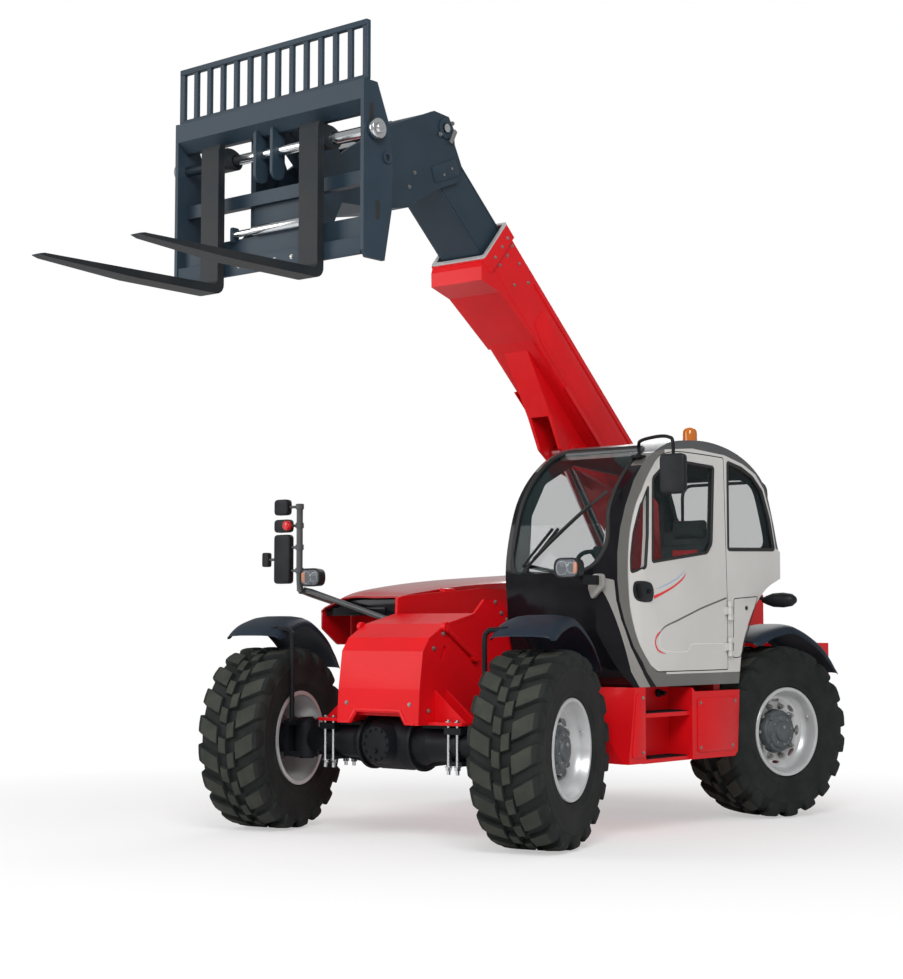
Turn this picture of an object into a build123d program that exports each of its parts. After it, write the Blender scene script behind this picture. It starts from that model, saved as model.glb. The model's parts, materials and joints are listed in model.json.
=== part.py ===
from build123d import *
from collections import namedtuple
from math import atan2, cos, degrees, hypot, radians, sin
import os

# A four-wheel-steer telescopic handler with a pallet-fork carriage.
# Frame: +Z up, -Y forward, +X to the machine's left (the cab side), ground at Z = 0.
# Side outlines are drawn as (distance behind the front axle, height above the ground).

os.makedirs("parts", exist_ok=True)

# ---- driving dimensions, millimetres and degrees ----
WHEELBASE = 2750
TRACK = 2120
TYRE_DIAMETER = 1180
TYRE_WIDTH = 457
RIM_FLANGE_DIAMETER = 610
RIM_HALF_WIDTH = 206
KINGPIN_INSET = 250
STEER_REST = 14

FRAME_HALF_WIDTH = 335
FRAME_PLATE = 20
REAR_OVERHANG = 1250
AXLE_TUBE_RADIUS = 100
AXLE_DIFF_RADIUS = 165

CAB_INNER_X = 355
CAB_OUTER_X = 1200
CAB_WALL = 45
GLASS_THICKNESS = 6
PANEL_GAP = 5
SPINDLE_RADIUS = 66

BOOM_ANGLE = 41.5
PIVOT_BEHIND_AXLE = 3350
PIVOT_HEIGHT = 1550
BOOM_WIDTH = 420
BOOM_DEPTH = 340
BOOM_WALL = 10
BOOM_TOP_OFFSET = 141
BOOM_TAIL = 300
COLLAR_REACH = 3516
INNER_BOOM_WIDTH = 340
INNER_BOOM_DEPTH = 296
INNER_BOOM_WALL = 10
INNER_BOOM_START = 640
INNER_BOOM_END = 4230
PIVOT_PIN_RADIUS = 45

CARRIAGE_PIVOT_FORWARD = 830
CARRIAGE_PIVOT_HEIGHT = 3950
CARRIAGE_WIDTH = 1570
FORK_LENGTH = 1300
FORK_WIDTH = 150
FORK_SPACING = 820
FORK_HEEL_THICKNESS = 55
FORK_SHAFT_RADIUS = 32
MIRROR_REACH = 1605
HOOD_OUTER_X = 1130
HOOD_INNER_X = 400
BAY_SKIN = 14

LIFT_BASE = (2950, 900)
LIFT_LUG = (1850, -330)
LIFT_BARREL_RADIUS = 80
LIFT_ROD_RADIUS = 45
LIFT_PIN_RADIUS = 35
TILT_BARREL_RADIUS = 60
TILT_ROD_RADIUS = 32
TILT_PIN_RADIUS = 28

RUNNING_CLEARANCE = 0.05
SEAT_GAP = 0.3

# ---- places worked out from them ----
AXLE_HEIGHT = TYRE_DIAMETER / 2
FORK_FACE_FORWARD = 1250
FORK_TIP_FORWARD = FORK_FACE_FORWARD + FORK_LENGTH
REAR_END = WHEELBASE + REAR_OVERHANG
FRONT_AXLE_Y = (FORK_TIP_FORWARD - REAR_END) / 2
KINGPIN_X = TRACK / 2 - KINGPIN_INSET
BOOM_COS = cos(radians(BOOM_ANGLE))
BOOM_SIN = sin(radians(BOOM_ANGLE))
BOOM_MID_OFFSET = BOOM_TOP_OFFSET - BOOM_DEPTH / 2
BOOM_BOTTOM_OFFSET = BOOM_TOP_OFFSET - BOOM_DEPTH


def side_plane(x):
    """A side view plane at x: sketch x is the distance behind the front axle, sketch y the height."""
    return Plane(origin=(x, FRONT_AXLE_Y, 0), x_dir=(0, 1, 0), z_dir=(1, 0, 0))


def front_plane(behind):
    """A cross plane seen from the front's back: sketch x is X, sketch y the height, extruding forward."""
    return Plane(origin=(0, FRONT_AXLE_Y + behind, 0), x_dir=(1, 0, 0), z_dir=(0, -1, 0))


def plan_plane(height):
    """A level plane at a height: sketch x is X, sketch y the distance behind the front axle."""
    return Plane(origin=(0, FRONT_AXLE_Y, height), x_dir=(1, 0, 0), z_dir=(0, 0, 1))


def boom_side_plane():
    """The boom's own side plane: sketch x runs up the boom from its pivot, sketch y square to it."""
    return Plane(
        origin=(0, FRONT_AXLE_Y + PIVOT_BEHIND_AXLE, PIVOT_HEIGHT),
        x_dir=(0, -BOOM_COS, BOOM_SIN),
        z_dir=(-1, 0, 0),
    )


def boom_section_plane(reach):
    """A plane square across the boom at a reach from its pivot: sketch x is X, sketch y its depth."""
    origin = boom_side_plane().from_local_coords((reach, 0, 0))
    return Plane(origin=origin, x_dir=(1, 0, 0), z_dir=(0, -BOOM_COS, BOOM_SIN))


def boom_point(reach, offset):
    """The (behind, height) of a point given along and square to the boom."""
    point = boom_side_plane().from_local_coords((reach, offset, 0))
    return (point.Y - FRONT_AXLE_Y, point.Z)


def finish(part, name):
    """Label a finished piece and write it as its own file."""
    part.label = name
    export_step(part, f"parts/{name}.step")
    print(f"{name:20s} solids {len(part.solids()):2d}  volume {part.volume / 1e6:9.2f} litres")


# ================= chassis =================
TOWER_TOP = PIVOT_HEIGHT + 190
FRAME_BOTTOM_AT_AXLE = 714
FRAME_BOTTOM = 480
# The nose's profile, then each side plate's top edge: the right one rises to the hood.
NOSE_PROFILE = [
    (-217, FRAME_BOTTOM_AT_AXLE),
    (-205, 930),
    (-174, 1162),
    (-112, 1246),
    (46, 1332),
    (330, 1398),
]
LEFT_TOP_EDGE = [(345, 1410), (430, 1485), (590, 1485), (685, 1397), (800, 1230), (2500, 1250), (2950, 1480)]
RIGHT_TOP_EDGE = [(335, 1500), (390, 1516), (860, 1552), (1200, 1575), (2950, 1575)]
FRAME_REST = [
    (PIVOT_BEHIND_AXLE - 210, TOWER_TOP - 60),
    (PIVOT_BEHIND_AXLE - 90, TOWER_TOP),
    (PIVOT_BEHIND_AXLE + 120, TOWER_TOP),
    (REAR_END - 90, 1560),
    (REAR_END - 90, 800),
    (REAR_END - 300, FRAME_BOTTOM_AT_AXLE),
    (WHEELBASE - 330, FRAME_BOTTOM_AT_AXLE),
    (WHEELBASE - 480, FRAME_BOTTOM),
    (480, FRAME_BOTTOM),
    (330, FRAME_BOTTOM_AT_AXLE),
]
NOSE_SHEET = 15
NOSE_SLOT = (20, 1150)
FRAME_INNER = FRAME_HALF_WIDTH - FRAME_PLATE
FRAME_INSIDE_WIDTH = 2 * FRAME_INNER
PIVOT_PLACE = (PIVOT_BEHIND_AXLE, PIVOT_HEIGHT)
CAB_FLOOR_HEIGHT = 935
OUTRIGGER_TOP = CAB_FLOOR_HEIGHT - SEAT_GAP
OUTRIGGER_DEPTH = 90

# Cross members between the side plates: behind, height, length along the machine, depth.
CrossMember = namedtuple("CrossMember", "behind height length depth")
CROSS_MEMBERS = [
    CrossMember(20, 775, 380, 24),
    CrossMember(WHEELBASE / 2, FRAME_BOTTOM + 10, WHEELBASE - 960, 20),
    CrossMember(WHEELBASE + 40, 775, 560, 24),
    CrossMember(900, 620, 24, 260),
    CrossMember(2150, 640, 24, 300),
]
# Outriggers that carry the cab and the engine bay: side, behind, outer X.
Outrigger = namedtuple("Outrigger", "side behind outer_x")
OUTRIGGERS = [
    Outrigger(1, 1180, 1000),
    Outrigger(1, 1930, 1120),
    Outrigger(-1, 980, HOOD_OUTER_X - BAY_SKIN - SEAT_GAP),
    Outrigger(-1, 1930, HOOD_OUTER_X - BAY_SKIN - SEAT_GAP),
]
HINGE_PIN_RADIUS = 8
HINGE_BARREL_RADIUS = 14
HINGE_KNUCKLE = 50
HOOD_HINGE = (-FRAME_HALF_WIDTH - 32, 1560)
HOOD_HINGE_PLACES = (900, 1300)
with BuildPart() as chassis_frame:
    for x, top_edge in ((-FRAME_HALF_WIDTH, RIGHT_TOP_EDGE), (FRAME_INNER, LEFT_TOP_EDGE)):
        with BuildSketch(side_plane(x)):
            with BuildLine():
                Polyline(*NOSE_PROFILE, *top_edge, *FRAME_REST, close=True)
            make_face()
            with Locations(NOSE_SLOT):
                SlotOverall(95, 28, rotation=65, mode=Mode.SUBTRACT)
            with Locations(PIVOT_PLACE):
                Circle(PIVOT_PIN_RADIUS + RUNNING_CLEARANCE, mode=Mode.SUBTRACT)
            with Locations(LIFT_BASE):
                Circle(LIFT_PIN_RADIUS + RUNNING_CLEARANCE, mode=Mode.SUBTRACT)
        extrude(amount=FRAME_PLATE)
    # Nose: a folded front plate between the side plates, notched over the axle.
    with BuildSketch(side_plane(-FRAME_INNER)):
        with BuildLine():
            Polyline(*NOSE_PROFILE, (332, 1398 - NOSE_SHEET), (52, 1332 - NOSE_SHEET), (-102, 1235),
                     (-174 + NOSE_SHEET, 1157), (-205 + NOSE_SHEET, 930),
                     (-217 + NOSE_SHEET, FRAME_BOTTOM_AT_AXLE), close=True)
        make_face()
    extrude(amount=FRAME_INSIDE_WIDTH)
    with BuildSketch(front_plane(-150)):
        with BuildLine():
            Polyline((-225, FRAME_BOTTOM_AT_AXLE - 1), (-175, 785), (175, 785),
                     (225, FRAME_BOTTOM_AT_AXLE - 1), close=True)
        make_face()
    extrude(amount=100, mode=Mode.SUBTRACT)
    for member in CROSS_MEMBERS:
        with BuildSketch(side_plane(-FRAME_INNER)):
            with Locations((member.behind, member.height)):
                Rectangle(member.length, member.depth)
        extrude(amount=FRAME_INSIDE_WIDTH)
    # Tower: rear plate and pivot bosses.
    with BuildSketch(side_plane(-FRAME_INNER)):
        with Locations((REAR_END - 100, 1130)):
            Rectangle(20, 560)
    extrude(amount=FRAME_INSIDE_WIDTH)
    for x, outward in ((-FRAME_HALF_WIDTH, -1), (FRAME_HALF_WIDTH, 1)):
        for place, radius in ((PIVOT_PLACE, PIVOT_PIN_RADIUS), (LIFT_BASE, LIFT_PIN_RADIUS)):
            with BuildSketch(side_plane(x)):
                with Locations(place):
                    Circle(radius + 45)
                    Circle(radius + RUNNING_CLEARANCE, mode=Mode.SUBTRACT)
            extrude(amount=25 * outward)
    for arm in OUTRIGGERS:
        width = arm.outer_x - FRAME_HALF_WIDTH
        with BuildSketch(front_plane(arm.behind + 40)):
            with Locations((arm.side * (FRAME_HALF_WIDTH + width / 2), OUTRIGGER_TOP - OUTRIGGER_DEPTH / 2)):
                Rectangle(width, OUTRIGGER_DEPTH)
        extrude(amount=80)
    # Hood hinge posts on the right side plate, each with its pin.
    for behind in HOOD_HINGE_PLACES:
        with BuildSketch(side_plane(-FRAME_HALF_WIDTH - 14)):
            with BuildLine():
                Polyline((behind - 60, 1150), (behind + 60, 1150), (behind + 60, HOOD_HINGE[1] + 10),
                         (behind - 60, HOOD_HINGE[1] + 10), close=True)
            make_face()
        extrude(amount=14)
        for start in (behind + 60, behind - HINGE_KNUCKLE / 2 - 1):
            with BuildSketch(front_plane(start)):
                with Locations(HOOD_HINGE):
                    Circle(HINGE_BARREL_RADIUS)
                with Locations((HOOD_HINGE[0] + HINGE_BARREL_RADIUS, HOOD_HINGE[1])):
                    Rectangle(20, 16)
            extrude(amount=60 - HINGE_KNUCKLE / 2 - 1)
        with BuildSketch(front_plane(behind + 60)):
            with Locations(HOOD_HINGE):
                Circle(HINGE_PIN_RADIUS)
        extrude(amount=120)
    # Towing eye plates under the rear end.
    for x in (-60, 40):
        with BuildSketch(side_plane(x)):
            with BuildLine():
                Polyline((REAR_END - 90, 860), (REAR_END - 20, 840), (REAR_END, 800),
                         (REAR_END, 740), (REAR_END - 30, 720), (REAR_END - 90, 720), close=True)
            make_face()
            with Locations((REAR_END - 40, 780)):
                Circle(16, mode=Mode.SUBTRACT)
        extrude(amount=20)
finish(chassis_frame.part, "chassis_frame")

# The pins that the frame holds: the boom's pivot and the lift cylinder's foot.
with BuildPart() as frame_pins:
    for place, radius in ((PIVOT_PLACE, PIVOT_PIN_RADIUS), (LIFT_BASE, LIFT_PIN_RADIUS)):
        half = FRAME_HALF_WIDTH + 30
        with BuildSketch(side_plane(-half)):
            with Locations(place):
                Circle(radius)
        extrude(amount=2 * half)
finish(frame_pins.part, "frame_pins")

# ================= axles =================
SPRING_PAD_X = 520
BOSS_RADIUS = 80
AXLE_END_X = KINGPIN_X - BOSS_RADIUS + 10
BOSS_HALF_HEIGHT = 85
KINGPIN_RADIUS = 35
KINGPIN_DEPTH = 60
for end, behind in (("front", 0), ("rear", WHEELBASE)):
    axle_y = FRONT_AXLE_Y + behind
    with BuildPart() as axle:
        # Housing: one half outline of radius against X, revolved about the axle's line.
        with BuildSketch(Plane(origin=(0, axle_y, AXLE_HEIGHT), x_dir=(1, 0, 0), z_dir=(0, -1, 0))):
            with BuildLine():
                Polyline((-AXLE_END_X, 0), (-AXLE_END_X, 70), (-520, AXLE_TUBE_RADIUS), (-300, 110),
                         (-190, 150), (-120, AXLE_DIFF_RADIUS), (120, AXLE_DIFF_RADIUS), (190, 150),
                         (300, 110), (520, AXLE_TUBE_RADIUS), (AXLE_END_X, 70), (AXLE_END_X, 0), close=True)
            make_face()
        revolve(axis=Axis((0, axle_y, AXLE_HEIGHT), (1, 0, 0)))
        # Differential cover, towards the machine's nearer end.
        facing = -1 if end == "front" else 1
        cover = Plane(origin=(0, axle_y, AXLE_HEIGHT), x_dir=(1, 0, 0), z_dir=(0, facing, 0))
        with BuildSketch(cover):
            Circle(142)
        extrude(amount=230, taper=8)
        # Pads under the frame, with the U-bolts' plates.
        for x in (-SPRING_PAD_X, SPRING_PAD_X):
            with Locations((x, axle_y, AXLE_HEIGHT + 92)):
                Box(130, 230, 40)
            with Locations((x, axle_y, AXLE_HEIGHT - 105)):
                Box(120, 200, 26)
        # Saddle under the frame's bottom plates.
        with Locations((0, axle_y, FRAME_BOTTOM_AT_AXLE - SEAT_GAP)):
            Box(1180, 150, 22, align=(Align.CENTER, Align.CENTER, Align.MAX))
        for x in (-KINGPIN_X, KINGPIN_X):
            with Locations((x, axle_y, AXLE_HEIGHT)):
                Cylinder(BOSS_RADIUS, 2 * BOSS_HALF_HEIGHT)
                Cylinder(KINGPIN_RADIUS + RUNNING_CLEARANCE, 2 * BOSS_HALF_HEIGHT, mode=Mode.SUBTRACT)
    finish(axle.part, f"{end}_axle")

# ================= knuckles, hubs, rims and tyres =================
# Corner: short name, side of the machine, distance behind the front axle, steer at rest (degrees, +Z).
Corner = namedtuple("Corner", "name side behind steer")
CORNERS = [
    Corner("front_left", 1, 0, STEER_REST),
    Corner("front_right", -1, 0, STEER_REST),
    Corner("rear_left", 1, WHEELBASE, -STEER_REST),
    Corner("rear_right", -1, WHEELBASE, -STEER_REST),
]
# A fender's outline: distance behind the wheel's middle, height above the tyre's top.
FENDER_ARC = [(-300, 82), (-235, 128), (-130, 172), (30, 204), (140, 190), (290, 122), (430, 26), (555, -135)]
FENDER_FRONT_LIFT = {"front": 0, "rear": -50}
FENDER_INNER = -210
FENDER_OUTER = 200
FENDER_SKIN = 8
FENDER_POST_RADIUS = 16
FENDER_POST_AHEAD = 215
FENDER_POST_ACROSS = -264
HUB_FLANGE_AT = 62
TYRE_BEAD_RADIUS = 291
RIM_SEAT_RADIUS = TYRE_BEAD_RADIUS - SEAT_GAP
hub_bore = SPINDLE_RADIUS + RUNNING_CLEARANCE
for corner in CORNERS:
    kingpin = (corner.side * KINGPIN_X, FRONT_AXLE_Y + corner.behind, AXLE_HEIGHT)
    turn = radians(corner.steer)
    outward = Vector(corner.side * cos(turn), corner.side * sin(turn), 0)
    centre = Vector(*kingpin) + outward * KINGPIN_INSET
    # Half-outlines are drawn as (distance outboard of the wheel's middle, radius) and revolved.
    wheel_plane = Plane(origin=centre, x_dir=outward, z_dir=outward.cross(Vector(0, 0, 1)))
    spin_axis = Axis(centre, outward)
    upright = Plane(origin=kingpin, x_dir=outward, z_dir=(0, 0, 1))

    with BuildPart() as knuckle:
        ear = BOSS_HALF_HEIGHT + SEAT_GAP
        for start, direction in ((ear, 1), (-ear, -1)):
            with BuildSketch(upright.offset(start)):
                Circle(BOSS_RADIUS)
                with Locations((55, 0)):
                    Rectangle(110, 2 * BOSS_RADIUS)
            extrude(amount=32 * direction)
            with BuildSketch(upright.offset(start)):
                Circle(KINGPIN_RADIUS)
            extrude(amount=-KINGPIN_DEPTH * direction)
        with BuildSketch(upright.offset(-ear - 32)):
            with Locations((106, 0)):
                Rectangle(36, 2 * BOSS_RADIUS)
        extrude(amount=2 * (ear + 32))
        # Spindle: from the upright web out to the hub's back.
        with BuildSketch(wheel_plane):
            with BuildLine():
                Polyline((-128, 0), (-128, 95), (-60, 95), (-60, SPINDLE_RADIUS),
                         (HUB_FLANGE_AT - 40, SPINDLE_RADIUS), (HUB_FLANGE_AT - 40, 0), close=True)
            make_face()
        revolve(axis=spin_axis)
        # Steering arm, behind the front axle and ahead of the rear one.
        arm_way = -corner.side if corner.behind == 0 else corner.side
        with BuildSketch(upright.offset(-ear - 32)):
            with BuildLine():
                Polyline((88, 60 * -arm_way), (20, 60 * -arm_way), (-40, 190 * -arm_way),
                         (0, 205 * -arm_way), (88, 110 * -arm_way), close=True)
            make_face()
        extrude(amount=26)
    finish(knuckle.part, f"knuckle_{corner.name}")

    with BuildPart() as fender:
        # A curved sheet over the tyre, on a post that stands on the knuckle and steers with it.
        back = wheel_plane.z_dir * -corner.side
        axis_point = Vector(centre.X, centre.Y, 0)
        fender_plane = Plane(origin=axis_point + outward * FENDER_INNER, x_dir=back, z_dir=outward * corner.side)
        lift = TYRE_DIAMETER + FENDER_FRONT_LIFT[corner.name.split("_")[0]]
        outline = [(along, lift + rise) for along, rise in FENDER_ARC]
        with BuildSketch(fender_plane):
            with BuildLine():
                Polyline(*outline, *[(along, height - FENDER_SKIN) for along, height in reversed(outline)],
                         close=True)
            make_face()
        extrude(amount=(FENDER_OUTER - FENDER_INNER) * corner.side)
        foot = AXLE_HEIGHT + BOSS_HALF_HEIGHT + SEAT_GAP + 32 + SEAT_GAP
        post = axis_point + outward * FENDER_POST_ACROSS - back * FENDER_POST_AHEAD
        arm_height = lift + FENDER_ARC[1][1] - 14
        with BuildSketch(Plane(origin=post + Vector(0, 0, foot), x_dir=outward, z_dir=(0, 0, 1))):
            Circle(FENDER_POST_RADIUS)
        extrude(amount=arm_height - foot)
        with BuildSketch(Plane(origin=post + Vector(0, 0, arm_height) - outward * FENDER_POST_RADIUS,
                               x_dir=back, z_dir=outward)):
            Rectangle(2 * FENDER_POST_RADIUS, 2 * FENDER_POST_RADIUS)
        extrude(amount=300)
        with BuildSketch(Plane(origin=post + Vector(0, 0, foot), x_dir=back, z_dir=(0, 0, 1))):
            with Locations((FENDER_POST_AHEAD / 2, 0)):
                Rectangle(FENDER_POST_AHEAD + 80, 2 * FENDER_POST_RADIUS)
        extrude(amount=20)
    finish(fender.part, f"fender_{corner.name}")

    with BuildPart() as hub:
        # Planetary hub: hollow at the back round the spindle, stepped cover in front.
        with BuildSketch(wheel_plane):
            with BuildLine():
                Polyline((-50, hub_bore), (-50, 150), (30, 160), (30, 178), (HUB_FLANGE_AT, 178),
                         (HUB_FLANGE_AT, 150), (130, 146), (150, 128), (150, 96), (172, 84),
                         (172, 0), (HUB_FLANGE_AT - 39, 0), (HUB_FLANGE_AT - 39, hub_bore), close=True)
            make_face()
        revolve(axis=spin_axis)
    finish(hub.part, f"hub_{corner.name}")

    with BuildPart() as rim:
        flange = RIM_FLANGE_DIAMETER / 2
        with BuildSketch(wheel_plane):
            with BuildLine():
                Polyline((-RIM_HALF_WIDTH, flange), (-RIM_HALF_WIDTH + 12, flange),
                         (-RIM_HALF_WIDTH + 14, RIM_SEAT_RADIUS), (-150, 287), (-110, 262), (60, 262),
                         (110, 287), (RIM_HALF_WIDTH - 14, RIM_SEAT_RADIUS), (RIM_HALF_WIDTH - 12, flange),
                         (RIM_HALF_WIDTH, flange), (RIM_HALF_WIDTH, 282), (120, 272), (104, 255),
                         (104, 232), (HUB_FLANGE_AT + 16, 205), (HUB_FLANGE_AT + 16, 151),
                         (HUB_FLANGE_AT + SEAT_GAP, 151), (HUB_FLANGE_AT + SEAT_GAP, 215),
                         (84, 250), (-112, 250), (-152, 274), (-RIM_HALF_WIDTH, 280), close=True)
            make_face()
        revolve(axis=spin_axis)
        # Oval hand holes round the disc.
        with BuildSketch(Plane(origin=centre, x_dir=(0, 0, 1), z_dir=outward)):
            with PolarLocations(222, 8):
                SlotOverall(70, 30, rotation=90)
        extrude(amount=TYRE_WIDTH / 2, mode=Mode.SUBTRACT)
    finish(rim.part, f"rim_{corner.name}")

    with BuildPart() as tyre:
        tread = TYRE_DIAMETER / 2
        half = TYRE_WIDTH / 2
        with BuildSketch(wheel_plane):
            with BuildLine():
                Polyline((-RIM_HALF_WIDTH + 17, TYRE_BEAD_RADIUS), (-RIM_HALF_WIDTH + 15, 310),
                         (-RIM_HALF_WIDTH + 2, 322),
                         (-half, 420), (-half + 6, 500), (-RIM_HALF_WIDTH, 566), (-150, tread - 4),
                         (0, tread), (150, tread - 4), (RIM_HALF_WIDTH, 566), (half - 6, 500),
                         (half, 420), (RIM_HALF_WIDTH - 2, 322), (RIM_HALF_WIDTH - 15, 310),
                         (RIM_HALF_WIDTH - 17, TYRE_BEAD_RADIUS), close=True)
            make_face()
        revolve(axis=spin_axis)
    finish(tyre.part, f"tyre_{corner.name}")

# ================= engine bay, tank and counterweight =================
BAY_TOP = 1400
with BuildPart() as engine_block:
    with BuildSketch(side_plane(-1000)):
        with BuildLine():
            Polyline((1000, OUTRIGGER_TOP), (2000, OUTRIGGER_TOP), (2000, 1330), (1750, 1420),
                     (1120, 1420), (1000, 1350), close=True)
        make_face()
    extrude(amount=540)
finish(engine_block.part, "engine_block")

BAY_OUTLINE = [(860, 760), (1940, 760), (2060, 960), (2180, 1100), (2180, BAY_TOP), (760, BAY_TOP), (760, 960)]
with BuildPart() as engine_bay_panels:
    # Outer skirt, end walls and floor round the engine, open to the hood above.
    with BuildSketch(side_plane(-HOOD_OUTER_X)):
        with BuildLine():
            Polyline(*BAY_OUTLINE, close=True)
        make_face()
    extrude(amount=HOOD_OUTER_X - FRAME_HALF_WIDTH - SEAT_GAP)
    with BuildSketch(side_plane(-HOOD_OUTER_X + BAY_SKIN)):
        with BuildLine():
            Polyline(*BAY_OUTLINE, close=True)
        make_face()
        offset(amount=-BAY_SKIN, kind=Kind.INTERSECTION)
        with Locations((1470, BAY_TOP)):
            Rectangle(1420 - 2 * BAY_SKIN, 60)
    extrude(amount=HOOD_OUTER_X - FRAME_HALF_WIDTH, mode=Mode.SUBTRACT)
    # The end walls stop short of the hood's inner edge, and clear the frame's outriggers.
    for arm in OUTRIGGERS:
        if arm.side < 0:
            with Locations((-725, FRONT_AXLE_Y + arm.behind, OUTRIGGER_TOP - OUTRIGGER_DEPTH / 2)):
                Box(2 * (HOOD_OUTER_X - BAY_SKIN - 725), 82, OUTRIGGER_DEPTH + 2, mode=Mode.SUBTRACT)
finish(engine_bay_panels.part, "engine_bay_panels")

# Hood sections along the machine: behind, top at the inner edge, ridge, shoulder, side's top.
HoodSection = namedtuple("HoodSection", "behind inner ridge shoulder side")
HOOD_FRONT = 465
HOOD_SKIRT_BOTTOM = 1190
HOOD_SECTIONS = [
    HoodSection(HOOD_FRONT, 1512, 1522, 1475, 1425),
    HoodSection(640, 1542, 1572, 1520, 1460),
    HoodSection(1250, 1600, 1640, 1590, 1490),
    HoodSection(2180, 1650, 1700, 1630, 1520),
]
HOOD_SKIN = 14


def hood_outline(section, inset):
    """The closed cross outline of the hood at one section, moved inward by inset."""
    return [
        (-HOOD_INNER_X - inset, section.inner - 60 - inset),
        (-HOOD_INNER_X - inset, section.inner - inset),
        (-800, section.ridge - inset),
        (-HOOD_OUTER_X + 110, section.shoulder - inset),
        (-HOOD_OUTER_X + inset, section.side - inset / 2),
        (-HOOD_OUTER_X + inset, BAY_TOP + 4 - inset),
    ]


with BuildPart() as engine_hood:
    for section in HOOD_SECTIONS:
        with BuildSketch(front_plane(section.behind)):
            with BuildLine():
                Polyline(*hood_outline(section, 0), close=True)
            make_face()
    loft(ruled=True)
    for section in HOOD_SECTIONS:
        with BuildSketch(front_plane(section.behind)):
            with BuildLine():
                Polyline(*hood_outline(section, HOOD_SKIN), close=True)
            make_face()
    loft(ruled=True, mode=Mode.SUBTRACT)
    # Skirt down the outer side, ahead of the bay's own wall.
    with BuildSketch(side_plane(-HOOD_OUTER_X)):
        with BuildLine():
            Polyline((HOOD_FRONT, HOOD_SKIRT_BOTTOM + 110), (HOOD_FRONT + 155, HOOD_SKIRT_BOTTOM),
                     (750, HOOD_SKIRT_BOTTOM), (750, BAY_TOP + 20), (HOOD_FRONT, BAY_TOP + 20), close=True)
        make_face()
    extrude(amount=HOOD_SKIN)
    # Hinge knuckles on the inner edge.
    for behind in HOOD_HINGE_PLACES:
        with BuildSketch(front_plane(behind + HINGE_KNUCKLE / 2)):
            with Locations(HOOD_HINGE):
                Circle(HINGE_BARREL_RADIUS)
            with BuildLine():
                Polyline((HOOD_HINGE[0], HOOD_HINGE[1] - 10), (HOOD_HINGE[0], HOOD_HINGE[1] + 10),
                         (-HOOD_INNER_X - 5, HOOD_HINGE[1] + 10), (-HOOD_INNER_X - 5, HOOD_HINGE[1] - 10),
                         close=True)
            make_face()
            with Locations(HOOD_HINGE):
                Circle(HINGE_PIN_RADIUS + RUNNING_CLEARANCE, mode=Mode.SUBTRACT)
        extrude(amount=HINGE_KNUCKLE)
finish(engine_hood.part, "engine_hood")

TANK_RECESS = (960, 1500)
TANK_RECESS_X = 1020
TANK_LEDGES = (470, 756)
with BuildPart() as side_tank:
    # Tank and battery box below the cab; both ends are cut back to clear the steered wheels.
    with BuildSketch(side_plane(FRAME_HALF_WIDTH + SEAT_GAP)):
        with BuildLine():
            Polyline((842, OUTRIGGER_TOP), (770, 463), (2025, 455), (2062, 487), (2092, 893),
                     (1540, 893), (1480, OUTRIGGER_TOP), close=True)
        make_face()
    extrude(amount=CAB_OUTER_X - FRAME_HALF_WIDTH - SEAT_GAP)
    with BuildSketch(plan_plane(400)):
        with BuildLine():
            Polyline((FRAME_HALF_WIDTH, 820), (900, 820), (CAB_OUTER_X, 760), (CAB_OUTER_X, 2092),
                     (900, 1975), (FRAME_HALF_WIDTH, 1975), close=True)
        make_face()
    extrude(amount=600, mode=Mode.INTERSECT)
    # A stepped recess between the tank and the box, with two treads.
    with BuildSketch(side_plane(TANK_RECESS_X)):
        with BuildLine():
            Polyline((TANK_RECESS[0], 400), (TANK_RECESS[1], 400), (TANK_RECESS[1], 1000),
                     (TANK_RECESS[0], 1000), close=True)
        make_face()
    extrude(amount=200, mode=Mode.SUBTRACT)
    for height in TANK_LEDGES:
        with BuildSketch(side_plane(TANK_RECESS_X)):
            with Locations(((TANK_RECESS[0] + TANK_RECESS[1]) / 2, height)):
                Rectangle(TANK_RECESS[1] - TANK_RECESS[0], 26)
        extrude(amount=160)
    for arm in OUTRIGGERS:
        if arm.side > 0:
            with Locations(((FRAME_HALF_WIDTH + arm.outer_x) / 2, FRONT_AXLE_Y + arm.behind, OUTRIGGER_TOP)):
                Box(arm.outer_x - FRAME_HALF_WIDTH + 4, 84, 2 * OUTRIGGER_DEPTH + 4, mode=Mode.SUBTRACT)
finish(side_tank.part, "side_tank")

WEIGHT_HALF_WIDTH = 985
WEIGHT_FRONT = WHEELBASE + 760
WEIGHT_DEPTH = 480
with BuildPart() as rear_counterweight:
    # The cast tail weight wraps the frame's end, rounded at its corners, open for the towing eyes.
    with BuildSketch(plan_plane(FRAME_BOTTOM_AT_AXLE)):
        with BuildLine():
            Polyline((-WEIGHT_HALF_WIDTH, WEIGHT_FRONT), (WEIGHT_HALF_WIDTH, WEIGHT_FRONT),
                     (WEIGHT_HALF_WIDTH, REAR_END - 260), (700, REAR_END - 60),
                     (-700, REAR_END - 60), (-WEIGHT_HALF_WIDTH, REAR_END - 260), close=True)
        make_face()
        inside_end = REAR_END - 90 + SEAT_GAP
        with Locations((0, (WEIGHT_FRONT - 1 + inside_end) / 2)):
            Rectangle(2 * (FRAME_HALF_WIDTH + SEAT_GAP), inside_end - WEIGHT_FRONT + 1, mode=Mode.SUBTRACT)
        with Locations((0, REAR_END - 80)):
            Rectangle(160, 60, mode=Mode.SUBTRACT)
    extrude(amount=WEIGHT_DEPTH)
finish(rear_counterweight.part, "rear_counterweight")

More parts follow.
